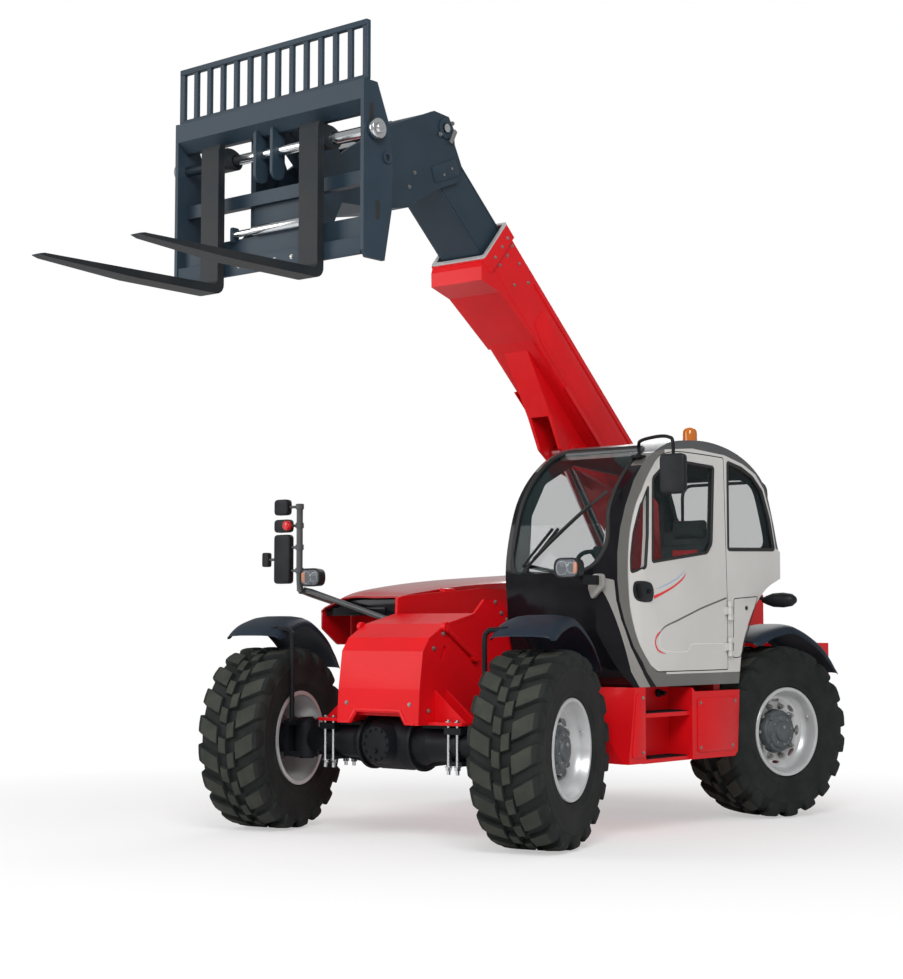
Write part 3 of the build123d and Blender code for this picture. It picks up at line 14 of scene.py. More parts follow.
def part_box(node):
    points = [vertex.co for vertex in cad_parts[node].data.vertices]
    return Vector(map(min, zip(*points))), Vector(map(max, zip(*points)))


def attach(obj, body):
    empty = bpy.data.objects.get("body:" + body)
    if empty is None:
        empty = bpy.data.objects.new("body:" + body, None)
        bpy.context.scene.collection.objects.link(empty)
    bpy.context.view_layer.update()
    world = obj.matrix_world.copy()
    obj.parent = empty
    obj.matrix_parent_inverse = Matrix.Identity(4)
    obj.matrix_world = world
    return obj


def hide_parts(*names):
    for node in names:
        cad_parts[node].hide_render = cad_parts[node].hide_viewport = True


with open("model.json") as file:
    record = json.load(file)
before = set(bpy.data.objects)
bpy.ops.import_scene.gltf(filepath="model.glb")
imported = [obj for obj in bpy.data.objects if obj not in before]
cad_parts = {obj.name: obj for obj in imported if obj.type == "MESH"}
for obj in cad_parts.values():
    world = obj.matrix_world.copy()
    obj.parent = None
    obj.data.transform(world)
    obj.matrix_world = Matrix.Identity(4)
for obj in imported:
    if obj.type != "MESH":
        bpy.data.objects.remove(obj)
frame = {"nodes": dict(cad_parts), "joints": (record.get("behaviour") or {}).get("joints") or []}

log = logging.getLogger("telehandler")

Flat = tuple[float, float]
Outline = tuple[Flat, ...]
Line = Sequence[Sequence[float]]
Face = tuple[int, ...]

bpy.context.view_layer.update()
# Distance from the row's origin to the front axle, along Y.
FRONT_AXLE_Y = next(j["pos_m"][1] for j in frame["joints"] if j["name"] == "front_left_steer")
WHEELBASE = 2.75
AXLE_HEIGHT = 0.59
CAB_SIDE_X = 1.2
CAB_INNER_X = 0.355
BOOM_ANGLE = math.radians(41.5)
# Edges that turn more than this are rounded.
SHARP_ANGLE = math.radians(38)
# The boom's pivot: behind the front axle, and height.
PIVOT = (3.35, 1.55)


def mm(text: str) -> tuple[tuple[float, ...], ...]:
    """Points written in millimetres: spaces part the numbers of a point, commas part the points."""
    return tuple(tuple(float(number) / 1000 for number in point.split()) for point in text.split(","))


# ---------------------------------------------------------------- finishes
def feed(tree: bpy.types.NodeTree, node: bpy.types.Node, inputs: dict[str | int, object]) -> bpy.types.Node:
    """Sets a node's inputs: a socket is linked, anything else becomes the input's constant."""
    for key, value in inputs.items():
        if isinstance(value, bpy.types.NodeSocket):
            tree.links.new(value, node.inputs[key])
        else:
            node.inputs[key].default_value = value
    return node


def add_node(tree: bpy.types.NodeTree, kind: str, inputs: dict[str | int, object] | None = None,
             operation: str = "") -> bpy.types.Node:
    """Adds a shader node with its operation and its inputs."""
    node = tree.nodes.new(f"ShaderNode{kind}")
    if operation:
        node.operation = operation
    return feed(tree, node, inputs or {})


class Pattern(Enum):
    """The small variation that a finish shows; the value is the fineness of its grain."""

    PAINT = 90.0
    CAST = 260.0
    RUBBER = 180.0
    BRUSHED = 220.0
    WEAVE = 120.0
    CLEAR = 0.0


@dataclass(frozen=True)
class Finish:
    """One surface finish: its colours, gloss and fine texture."""

    name: str
    colour: tuple[float, float, float]
    worn: tuple[float, float, float]
    roughness: float
    bump: float = 0.0
    pattern: Pattern = Pattern.PAINT
    metallic: float = 0.0
    coat: float = 0.0
    scale: float = 6.0
    transmission: float = 0.0
    alpha: float = 1.0
    glow: float = 0.0
    specular: float = 0.5
    slot: str = ""

    def material(self) -> bpy.types.Material:
        """The node material of this finish, made once."""
        name = f"look_{self.name}"
        known = bpy.data.materials.get(name)
        if known:
            return known
        material = bpy.data.materials.new(name)
        material.use_nodes = True
        tree = material.node_tree
        shader = feed(tree, tree.nodes["Principled BSDF"],
                {"Metallic": self.metallic, "Specular IOR Level": self.specular, "Coat Weight": self.coat,
                "Coat Roughness": 0.06, "Transmission Weight": self.transmission, "Alpha": self.alpha})
        if self.glow:
            feed(tree, shader, {"Emission Color": (*self.colour, 1), "Emission Strength": self.glow})
        if self.pattern is Pattern.CLEAR:
            feed(tree, shader, {"Base Color": (*self.colour, 1), "Roughness": self.roughness})
        else:
            self._texture(tree, shader)
        return material

    def _texture(self, tree: bpy.types.NodeTree, shader: bpy.types.Node) -> None:
        """Adds soft worn patches, a little change of gloss, and the fine grain as a bump."""
        place = tree.nodes.new("ShaderNodeTexCoord").outputs["Object"]
        if self.pattern is Pattern.BRUSHED:
            place = add_node(tree, "Mapping", {"Scale": (0.15, 6.0, 6.0), "Vector": place}).outputs["Vector"]
        cloud = add_node(tree, "TexNoise", {"Scale": self.scale, "Detail": 4.0, "Vector": place}).outputs["Fac"]
        ramp = add_node(tree, "ValToRGB", {"Fac": cloud})
        for element, position, colour in zip(ramp.color_ramp.elements, (0.38, 0.72), (self.colour, self.worn)):
            element.position, element.color = position, (*colour, 1)
        spread = add_node(tree, "MapRange", {"To Min": max(0.02, self.roughness - 0.06),
                "To Max": min(1.0, self.roughness + 0.08), "Value": cloud})
        if self.pattern is Pattern.WEAVE:
            grain = add_node(tree, "TexWave", {"Scale": self.pattern.value, "Distortion": 1.5, "Vector": place})
        else:
            grain = add_node(tree, "TexNoise", {"Scale": self.pattern.value, "Detail": 3.0, "Vector": place})
        bump = add_node(tree, "Bump", {"Strength": self.bump * 10, "Distance": 0.002, "Height": grain.outputs["Fac"]})
        feed(tree, shader, {"Base Color": ramp.outputs["Color"], "Roughness": spread.outputs["Result"],
                "Normal": bump.outputs["Normal"]})


RED = Finish("red_paint", (0.7, 0.0045, 0.009), (0.62, 0.0045, 0.008), 0.4, 0.004, coat=0.08, scale=2.5, specular=0.2)
DEEP_RED = Finish("hood_red_gloss", (0.5, 0.004, 0.009), (0.43, 0.004, 0.008), 0.22, 0.002, coat=0.6, scale=2.0,
        slot="red_paint")
BLUE_GREY = Finish("blue_grey_paint", (0.017, 0.032, 0.048), (0.022, 0.039, 0.057), 0.46, 0.01, scale=4.0,
        specular=0.28)
FORK_GREY = Finish("fork_steel", (0.009, 0.013, 0.017), (0.018, 0.019, 0.02), 0.5, 0.03, Pattern.CAST, metallic=0.1,
        scale=5.0, specular=0.3)
FORK_WORN = Finish("fork_worn_face", (0.026, 0.021, 0.017), (0.045, 0.036, 0.028), 0.5, 0.02, Pattern.CAST,
        metallic=0.2, scale=4.0, specular=0.3)
BLACK = Finish("black_paint", (0.006, 0.007, 0.009), (0.011, 0.013, 0.016), 0.46, 0.01, scale=5.0, specular=0.16)
BLACK_TRIM = replace(BLACK, slot="black_plastic")
BLACK_PLASTIC = Finish("black_plastic", (0.008, 0.009, 0.011), (0.016, 0.018, 0.021), 0.45, 0.02, Pattern.CAST,
        specular=0.25)
GLOSS_BLACK = Finish("gloss_black", (0.006, 0.006, 0.008), (0.01, 0.01, 0.012), 0.12, 0.001, coat=0.04, specular=0.16,
        slot="black_plastic")
SEAL = Finish("rubber_seal", (0.008, 0.008, 0.009), (0.015, 0.015, 0.015), 0.62, 0.02, Pattern.RUBBER,
              slot="black_plastic")
CAB_GREY = Finish("cab_grey_paint", (0.6, 0.585, 0.565), (0.64, 0.625, 0.605), 0.32, 0.002, coat=0.25, scale=2.0)
PILLAR_GREY = Finish("pillar_grey_gloss", (0.105, 0.103, 0.095), (0.135, 0.132, 0.124), 0.16, 0.002, coat=0.8,
        scale=2.0, slot="cab_grey_paint")
FLANGE_GREY = Finish("flange_grey", (0.25, 0.24, 0.225), (0.29, 0.28, 0.265), 0.35, 0.002, coat=0.1, scale=2.0,
        slot="cab_grey_paint")
ROOF_GREY = Finish("roof_grey", (0.06, 0.063, 0.066), (0.082, 0.085, 0.088), 0.38, 0.01, coat=0.1, scale=4.0,
        slot="black_plastic")
SILVER = Finish("rim_silver", (0.56, 0.57, 0.575), (0.5, 0.505, 0.51), 0.3, 0.006, metallic=0.35, coat=0.3, scale=7.0)
HUB_GREY = Finish("hub_grey", (0.07, 0.082, 0.09), (0.11, 0.12, 0.125), 0.5, 0.03, Pattern.CAST, metallic=0.2,
        scale=9.0)
TYRE = Finish("tyre_rubber", (0.01, 0.012, 0.012), (0.02, 0.022, 0.021), 0.74, 0.05, Pattern.RUBBER, scale=7.0,
              specular=0.25)
# The lugs' running faces: greyer worn rubber, plus painted light where the lug tops catch the light.
TREAD = Finish("tread_face", (0.034, 0.037, 0.031), (0.052, 0.054, 0.044), 0.8, 0.05, Pattern.RUBBER, scale=9.0,
               specular=0.2)
BRIGHT = Finish("bright_steel", (0.68, 0.7, 0.72), (0.58, 0.6, 0.62), 0.16, 0.004, Pattern.BRUSHED, metallic=1.0,
                scale=12.0)
ZINC = Finish("zinc_fastener", (0.34, 0.34, 0.33), (0.25, 0.24, 0.22), 0.42, 0.01, Pattern.CAST, metallic=0.85,
              scale=20.0, slot="bright_steel")
FENDER = Finish("fender_plastic", (0.009, 0.017, 0.029), (0.014, 0.025, 0.04), 0.48, 0.015, Pattern.CAST, scale=4.0,
                specular=0.25)
GLASS = Finish("tinted_glass", (0.012, 0.034, 0.036), (0, 0, 0), 0.01, pattern=Pattern.CLEAR, alpha=0.24)
LAMP_GLASS = Finish("lamp_lens", (0.55, 0.6, 0.65), (0, 0, 0), 0.03, pattern=Pattern.CLEAR, coat=0.3, alpha=0.22)
AMBER = Finish("amber_lens", (0.72, 0.19, 0.008), (0, 0, 0), 0.12, pattern=Pattern.CLEAR, coat=0.4, transmission=0.25,
               glow=0.03)
RED_LENS = Finish("red_lens", (0.72, 0.008, 0.01), (0, 0, 0), 0.15, pattern=Pattern.CLEAR, coat=0.6, transmission=0.2,
        glow=0.05)
REFLECTOR = Finish("lamp_reflector", (0.66, 0.71, 0.76), (0, 0, 0), 0.16, pattern=Pattern.CLEAR, metallic=1.0,
        slot="bright_steel")
MIRROR = Finish("mirror_glass", (0.8, 0.83, 0.85), (0, 0, 0), 0.03, pattern=Pattern.CLEAR, metallic=1.0,
                slot="black_plastic")
SEAT_CLOTH = Finish("seat_fabric", (0.022, 0.03, 0.032), (0.032, 0.042, 0.044), 0.85, 0.03, Pattern.WEAVE)
SEAT_RED = Finish("seat_red_fabric", (0.55, 0.02, 0.022), (0.46, 0.016, 0.018), 0.8, 0.03, Pattern.WEAVE,
        slot="seat_fabric")
IRON = Finish("engine_iron", (0.07, 0.072, 0.075), (0.11, 0.11, 0.11), 0.6, 0.05, Pattern.CAST, metallic=0.3,
              scale=8.0)
NYLON = Finish("wear_pad_nylon", (0.62, 0.6, 0.52), (0.54, 0.52, 0.45), 0.55, 0.01, Pattern.CAST)
STRIPE_RED = Finish("stripe_red", (0.78, 0.03, 0.03), (0.72, 0.02, 0.02), 0.3, 0.001, slot="cab_grey_paint")
STRIPE_BLUE = Finish("stripe_blue", (0.32, 0.5, 0.72), (0.3, 0.47, 0.68), 0.3, 0.001, slot="cab_grey_paint")
STRIPE_WHITE = Finish("stripe_white", (0.8, 0.8, 0.8), (0.74, 0.74, 0.74), 0.3, 0.001, slot="cab_grey_paint")


# ---------------------------------------------------------------- drawing planes
def side_view(x: float) -> Matrix:
    """Plane seen from the side at x: (behind the front axle, height, +X)."""
    return Matrix(((0, 0, 1, x), (1, 0, 0, FRONT_AXLE_Y), (0, 1, 0, 0), (0, 0, 0, 1)))


def flank(x: float, side: int) -> Matrix:
    """The side plane at x on one side of the machine, its normal pointing outward."""
    return side_view(side * x) @ Matrix.Diagonal((1, 1, side, 1))


def front_view(behind: float) -> Matrix:
    """Plane seen from the front: (X, height, forward)."""
    return Matrix(((1, 0, 0, 0), (0, 0, -1, FRONT_AXLE_Y + behind), (0, 1, 0, 0), (0, 0, 0, 1)))


def plan_view(height: float) -> Matrix:
    """Plane seen from above: (X, behind the front axle, up)."""
    return Matrix(((1, 0, 0, 0), (0, 1, 0, FRONT_AXLE_Y), (0, 0, 1, height), (0, 0, 0, 1)))


def boom_view(x: float) -> Matrix:
    """Plane of the boom's side at x: (reach along the boom, square to it, +X)."""
    run, rise = math.cos(BOOM_ANGLE), math.sin(BOOM_ANGLE)
    return Matrix(((0, 0, 1, x), (-run, rise, 0, FRONT_AXLE_Y + PIVOT[0]), (rise, run, 0, PIVOT[1]), (0, 0, 0, 1)))


def boom_flank(x: float, side: int) -> Matrix:
    """The boom's side plane at x on one side, its normal pointing outward."""
    return boom_view(side * x) @ Matrix.Diagonal((1, 1, side, 1))


def boom_cross(reach: float) -> Matrix:
    """Plane square across the boom at a reach: (X, square to the boom, along it)."""
    run, rise = math.cos(BOOM_ANGLE), math.sin(BOOM_ANGLE)
    start = boom_view(0) @ Vector((reach, 0, 0))
    return Matrix(((1, 0, 0, 0), (0, rise, -run, start.y), (0, run, rise, start.z), (0, 0, 0, 1)))


def spot(x: float, behind: float, height: float) -> Vector:
    """A place given as X, behind the front axle, and height."""
    return Vector((x, FRONT_AXLE_Y + behind, height))


def facing(centre: Sequence[float], normal: Sequence[float]) -> Matrix:
    """A plane at a point whose third direction is the given normal."""
    turn = Vector(normal).to_track_quat("Z", "Y").to_matrix().to_4x4()
    return Matrix.Translation(Vector(centre)) @ turn


def sloped(low: Flat, high: Flat) -> Matrix:
    """Plane through two (behind, height) places, seen from the front: (X, up the slope, outward)."""
    run = Vector((0, high[0] - low[0], high[1] - low[1])).normalized()
    return Matrix(((1, 0, 0, 0), (0, run.y, -run.z, FRONT_AXLE_Y + low[0]), (0, run.z, run.y, low[1]), (0, 0, 0, 1)))


# ---------------------------------------------------------------- outlines
def rounded(points: Line, radius: float, steps: int = 4) -> list[Flat]:
    """Rounds every corner of a closed outline.

    Args:
        points: The outline's corners, in order.
        radius: How far from each corner the rounding starts.
        steps: How many straight runs make each corner.

    Returns:
        The outline with its corners rounded.
    """
    out: list[Flat] = []
    for i, corner in enumerate(points):
        here = Vector(corner)
        before = Vector(points[i - 1]) - here
        after = Vector(points[(i + 1) % len(points)]) - here
        reach = min(radius, before.length * 0.45, after.length * 0.45)
        start = here + before.normalized() * reach
        end = here + after.normalized() * reach
        for k in range(steps + 1):
            t = k / steps
            p = start * (1 - t) ** 2 + here * 2 * t * (1 - t) + end * t ** 2
            out.append((p.x, p.y))
    return out


def flowing(points: Line, steps: int = 5, closed: bool = False) -> list[Vector]:
    """Passes a smooth line through points.

    Args:
        points: The points, two or three numbers each.
        steps: How many runs lie between two points.
        closed: Whether the line returns to its start.

    Returns:
        The points of the smooth line.
    """
    known = [Vector(p) for p in points]
    count = len(known)
    out: list[Vector] = []
    for i in range(count if closed else count - 1):
        a, b = known[i], known[(i + 1) % count]
        before = known[i - 1] if closed or i else a * 2 - b
        after = known[(i + 2) % count] if closed or i + 2 < count else b * 2 - a
        for k in range(steps):
            t = k / steps
            out.append(0.5 * (2 * a + (b - before) * t + (2 * before - 5 * a + 4 * b - after) * t ** 2
                              + (3 * a - before - 3 * b + after) * t ** 3))
    if not closed:
        out.append(known[-1])
    return out


def swept(points: Line, steps: int) -> list[Flat]:
    """A smooth line through points on a plane, as plain pairs."""
    return [p.to_tuple() for p in flowing(points, steps)]


def polar(radius: float, turn: float, centre: Flat = (0.0, 0.0)) -> Flat:
    """The place at a radius and a turn round a centre."""
    return (centre[0] + radius * math.cos(turn), centre[1] + radius * math.sin(turn))


def turns(count: int) -> list[float]:
    """Equal turns round a whole circle, in radians."""
    return [2 * math.pi * k / count for k in range(count)]


def circle(centre: Flat, radius: float, steps: int = 24) -> list[Flat]:
    """A round outline."""
    return [polar(radius, turn, centre) for turn in turns(steps)]


def rectangle(centre: Flat, width: float, height: float) -> list[Flat]:
    """A four-cornered outline."""
    x, y = centre
    w, h = width / 2, height / 2
    return [(x - w, y - h), (x + w, y - h), (x + w, y + h), (x - w, y + h)]


def pad(centre: Flat, width: float, height: float, radius: float, steps: int = 4) -> list[Flat]:
    """A four-cornered outline with rounded corners."""
    return rounded(rectangle(centre, width, height), radius, steps)


def shrunk(line: Line, inset: float) -> list[Flat]:
    """Moves a closed outline inward, or outward where inset is negative.

    Args:
        line: The closed outline.
        inset: How far each edge moves.

    Returns:
        The moved outline.
    """
    points = [Vector((p[0], p[1])) for p in line]
    area = sum(a.x * b.y - b.x * a.y for a, b in zip(points, points[1:] + points[:1]))
    way = 1 if area > 0 else -1
    out = []
    for i, here in enumerate(points):
        a = here - points[i - 1]
        b = points[(i + 1) % len(points)] - here
        if a.length < 1e-7 or b.length < 1e-7:
            continue
        na = Vector((-a.y, a.x)).normalized() * way
        nb = Vector((-b.y, b.x)).normalized() * way
        mid = na + nb
        mid /= max(mid.dot(na), 0.35)
        p = here + mid * inset
        out.append((p.x, p.y))
    return out


def dense(line: Line, step: float) -> list[Vector]:
    """Adds points along a closed outline's long edges."""
    out: list[Vector] = []
    for a, b in zip(line, [*line[1:], line[0]]):
        start, end = Vector(a), Vector(b)
        count = max(1, int((end - start).length / step))
        out += [start.lerp(end, k / count) for k in range(count)]
    return out


# ---------------------------------------------------------------- mesh building
def add_object(name: str, data: bpy.types.ID) -> bpy.types.Object:
    """Puts a new object with its data in the scene."""
    thing = bpy.data.objects.new(name, data)
    bpy.context.scene.collection.objects.link(thing)
    return thing


def solved_mesh(thing: bpy.types.Object) -> bpy.types.Mesh:
    """A new mesh of an object as its modifiers leave it."""
    return bpy.data.meshes.new_from_object(thing.evaluated_get(bpy.context.evaluated_depsgraph_get()))


@dataclass
class Shape:
    """Vertices and faces gathered for one piece. Each method that adds to it returns it.

    sound means that the faces already turn the right way.
    """

    verts: list[Vector] = field(default_factory=list)
    faces: list[Face] = field(default_factory=list)
    sound: bool = False

    def take(self, verts: Iterable[Vector], faces: Iterable[Face]) -> "Shape":
        """Adds vertices and their faces."""
        start = len(self.verts)
        self.verts.extend(Vector(v) for v in verts)
        self.faces.extend(tuple(start + i for i in face) for face in faces)
        return self

    def prism(self, view: Matrix, outline: Line, start: float, end: float, taper: float = 1.0) -> "Shape":
        """Adds an outline drawn on a plane and carried from start to end along its normal.

        Args:
            view: The drawing plane.
            outline: The closed outline on it.
            start: Where the solid starts along the normal.
            end: Where it ends.
            taper: The end's size as a share of the start's.
        """
        n = len(outline)
        mid = sum((Vector(p) for p in outline), Vector(outline[0]) * 0) / n
        low = [view @ Vector((p[0], p[1], start)) for p in outline]
        high = [view @ Vector((mid[0] + (p[0] - mid[0]) * taper, mid[1] + (p[1] - mid[1]) * taper, end))
                for p in outline]
        sides = [(i, (i + 1) % n, n + (i + 1) % n, n + i) for i in range(n)]
        return self.take(low + high, [tuple(reversed(range(n))), tuple(range(n, 2 * n)), *sides])

    def block(self, low: Sequence[float], high: Sequence[float]) -> "Shape":
        """Adds a box between two corners given as (X, behind, height)."""
        return self.prism(plan_view(0), [(low[0], low[1]), (high[0], low[1]), (high[0], high[1]), (low[0], high[1])],
                low[2], high[2])

    def lathe(self, view: Matrix, profile: Line, steps: int = 48) -> "Shape":
        """Adds a ring or disc turned about the plane's normal.

        Args:
            view: A plane whose normal is the turning axis.
            profile: The closed outline as (along the axis, radius).
            steps: How many runs go round.
        """
        n = len(profile)
        verts = []
        for angle in turns(steps):
            verts += [view @ Vector((*polar(r, angle), along)) for along, r in profile]
        faces = []
        for k in range(steps):
            a, b = k * n, ((k + 1) % steps) * n
            faces += [(a + i, b + i, b + (i + 1) % n, a + (i + 1) % n) for i in range(n)]
        return self.take(verts, faces)

    def tube(self, path: Line, radius: float, sides: int = 12, closed: bool = False, flat: float = 1.0) -> "Shape":
        """Adds a round bar along a line of points.

        Args:
            path: The line's points, in the row frame.
            radius: The bar's radius.
            sides: How many flats go round it.
            closed: Whether the bar returns to its start.
            flat: The section's second radius as a share of the first.
        """
        line = [Vector(p) for p in path]
        count = len(line)
        normal: Vector | None = None
        verts: list[Vector] = []
        for i, here in enumerate(line):
            before = line[i - 1] if closed or i else here
            after = line[(i + 1) % count] if closed or i + 1 < count else here
            along = (after - before).normalized()
            if normal is None:
                normal = along.orthogonal().normalized()
            normal = (normal - along * normal.dot(along)).normalized()
            other = along.cross(normal)
            verts += [here + radius * (normal * math.cos(turn) + flat * other * math.sin(turn))
                    for turn in turns(sides)]
        faces: list[Face] = []
        for i in range(count if closed else count - 1):
            a, b = i * sides, ((i + 1) % count) * sides
            faces += [(a + k, a + (k + 1) % sides, b + (k + 1) % sides, b + k) for k in range(sides)]
        if not closed:
            faces += [tuple(reversed(range(sides))), tuple(range((count - 1) * sides, count * sides))]
        return self.take(verts, faces)

    def sheet(self, rows: Sequence[Line], thick: float = 0.0) -> "Shape":
        """Adds a skin through rows of points, closed into a thin solid where thick is given.

        Args:
            rows: Rows of points in the row frame, each as long as the others.
            thick: How far below the first skin the second lies.
        """
        m = len(rows[0])
        top = [Vector(p) for row in rows for p in row]
        faces = [(r * m + c, r * m + c + 1, (r + 1) * m + c + 1, (r + 1) * m + c) for r in range(len(rows) - 1)
                for c in range(m - 1)]
        if not thick:
            return self.take(top, faces)
        low = [p - Vector((0, 0, thick)) for p in top]
        size = len(top)
        under = [tuple(size + i for i in reversed(face)) for face in faces]
        rim = list(range(m)) + [r * m + m - 1 for r in range(1, len(rows))] + [(len(rows) - 1) * m + c
                for c in range(m - 2, -1, -1)] + [r * m for r in range(len(rows) - 2, 0, -1)]
        edge = [(rim[i], size + rim[i], size + rim[(i + 1) % len(rim)], rim[(i + 1) % len(rim)])
                for i in range(len(rim))]
        return self.take(top + low, faces + under + edge)

    def bolts(self, view: Matrix, places: Iterable[Flat], radius: float, height: float,
              washer: float = 1.5) -> "Shape":
        """Adds hexagon bolt heads on washers at places on a plane."""
        for place in places:
            self.prism(view, circle(place, radius * washer, 16), 0, height * 0.25)
            self.prism(view, circle(place, radius * 1.15, 6), height * 0.2, height, 0.93)
        return self

    def plate(self, view: Matrix, outline: Line, start: float, end: float, holes: Sequence[Line] = (),
              edge: float = 0.0) -> "Shape":
        """Adds a flat plate with holes and softened edges.

        Args:
            view: The drawing plane.
            outline: The plate's closed outline.
            start: Where the plate starts along the normal.
            end: Where it ends.
            holes: Closed outlines cut through it.
            edge: The radius of its softened edges.
        """
        curve = bpy.data.curves.new("plate", "CURVE")
        curve.dimensions = "2D"
        curve.fill_mode = "BOTH"
        curve.extrude = abs(end - start) / 2 - edge
        curve.bevel_depth = edge
        curve.offset = -edge
        curve.bevel_resolution = 1
        for ring in (outline, *holes):
            spline = curve.splines.new("POLY")
            spline.points.add(len(ring) - 1)
            for point, place in zip(spline.points, ring):
                point.co = (place[0], place[1], 0, 1)
            spline.use_cyclic_u = True
        holder = add_object("plate", curve)
        bpy.context.view_layer.update()
        solid = solved_mesh(holder)
        middle = Matrix.Translation((0, 0, (start + end) / 2))
        self.take([view @ middle @ v.co for v in solid.vertices], [tuple(p.vertices) for p in solid.polygons])
        bpy.data.objects.remove(holder)
        bpy.data.curves.remove(curve)
        bpy.data.meshes.remove(solid)
        return self

    def piece(self, name: str, finish: Finish, body: str = "chassis", slot: str = "", bevel: float = 0.0,
              smooth: float = 30.0, segments: int = 2, replaces: str = "",
              zones: Sequence[tuple[Finish, Callable[[Vector, Vector], bool]]] = ()) -> bpy.types.Object:
        """Turns the shape into a named piece that rides on a body.

        Args:
            name: The piece's name.
            finish: Its main finish.
            body: The body it moves with.
            slot: The record's material slot for it, where it isn't the finish's own; not used.
            bevel: The width of its softened edges, or 0 for none.
            smooth: Edges flatter than this many degrees shade smoothly.
            segments: How many runs make a softened edge.
            replaces: The CAD node that the piece stands for.
            zones: Further finishes, each with a test on a face's centre and normal.

        Returns:
            The finished object.
        """
        mesh = bpy.data.meshes.new(name)
        mesh.from_pydata([tuple(v) for v in self.verts], [], self.faces)
        tidy = bmesh.new()
        tidy.from_mesh(mesh)
        bmesh.ops.remove_doubles(tidy, verts=tidy.verts, dist=1e-5)
        if not self.sound:
            bmesh.ops.recalc_face_normals(tidy, faces=tidy.faces)
        tidy.to_mesh(mesh)
        tidy.free()
        mesh.validate()
        mesh.shade_smooth()
        mesh.set_sharp_from_angle(angle=math.radians(smooth))
        mesh.materials.append(finish.material())
        for number, (other, test) in enumerate(zones, 1):
            mesh.materials.append(other.material())
            for face in mesh.polygons:
                if test(face.center, face.normal):
                    face.material_index = number
        thing = add_object(name, mesh)
        if bevel:
            soften(thing, bevel, segments)
        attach(thing, body)
        if replaces:
            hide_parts(replaces)
        log.info("%s: %d faces on %s", name, len(mesh.polygons), body)
        return thing

    def fasteners(self, name: str, body: str = "chassis") -> bpy.types.Object:
        """Turns the shape into a piece of bright bolts."""
        return self.piece(name, ZINC, body, bevel=0.0008, segments=1)


def soften(thing: bpy.types.Object, width: float, segments: int = 2) -> None:
    """Rounds a piece's sharp edges with a bevel."""
    bevel = thing.modifiers.new("soft_edges", "BEVEL")
    bevel.width = width
    bevel.segments = segments
    bevel.limit_method = "ANGLE"
    bevel.angle_limit = SHARP_ANGLE
    bevel.harden_normals = True


def dress(node: str, finish: Finish, bevel: float = 0.0) -> bpy.types.Object:
    """Gives a kept CAD node its finish, and soft edges where asked."""
    thing = frame["nodes"][node]
    for place in thing.material_slots:
        place.material = finish.material()
    if bevel:
        soften(thing, bevel)
    return thing


def cut(solid: Shape, tools: Sequence[Shape], keep: bool = False) -> Shape:
    """Cuts tools out of a solid, or keeps only what lies in them.

    Args:
        solid: The shape to work on.
        tools: The closed shapes that cut it, one after another.
        keep: Whether to keep the common part instead of cutting.

    Returns:
        The shape that is left.
    """
    holders = []
    for part in (solid, *tools):
        mesh = bpy.data.meshes.new("tool")
        mesh.from_pydata([tuple(v) for v in part.verts], [], part.faces)
        work = bmesh.new()
        work.from_mesh(mesh)
        if not part.sound:
            bmesh.ops.recalc_face_normals(work, faces=work.faces)
        work.to_mesh(mesh)
        work.free()
        holders.append(add_object("tool", mesh))
    for tool in holders[1:]:
        step = holders[0].modifiers.new("cut", "BOOLEAN")
        step.operation = "INTERSECT" if keep else "DIFFERENCE"
        step.solver = "EXACT"
        step.object = tool
    bpy.context.view_layer.update()
    result = solved_mesh(holders[0])
    out = Shape().take([v.co for v in result.vertices], [tuple(p.vertices) for p in result.polygons])
    out.sound = True
    for holder in holders:
        mesh = holder.data
        bpy.data.objects.remove(holder)
        bpy.data.meshes.remove(mesh)
    bpy.data.meshes.remove(result)
    return out


def apply_modifiers(thing: bpy.types.Object) -> None:
    """Makes a piece's modifiers part of its mesh."""
    solved = solved_mesh(thing)
    thing.modifiers.clear()
    old = thing.data
    thing.data = solved
    bpy.data.meshes.remove(old)


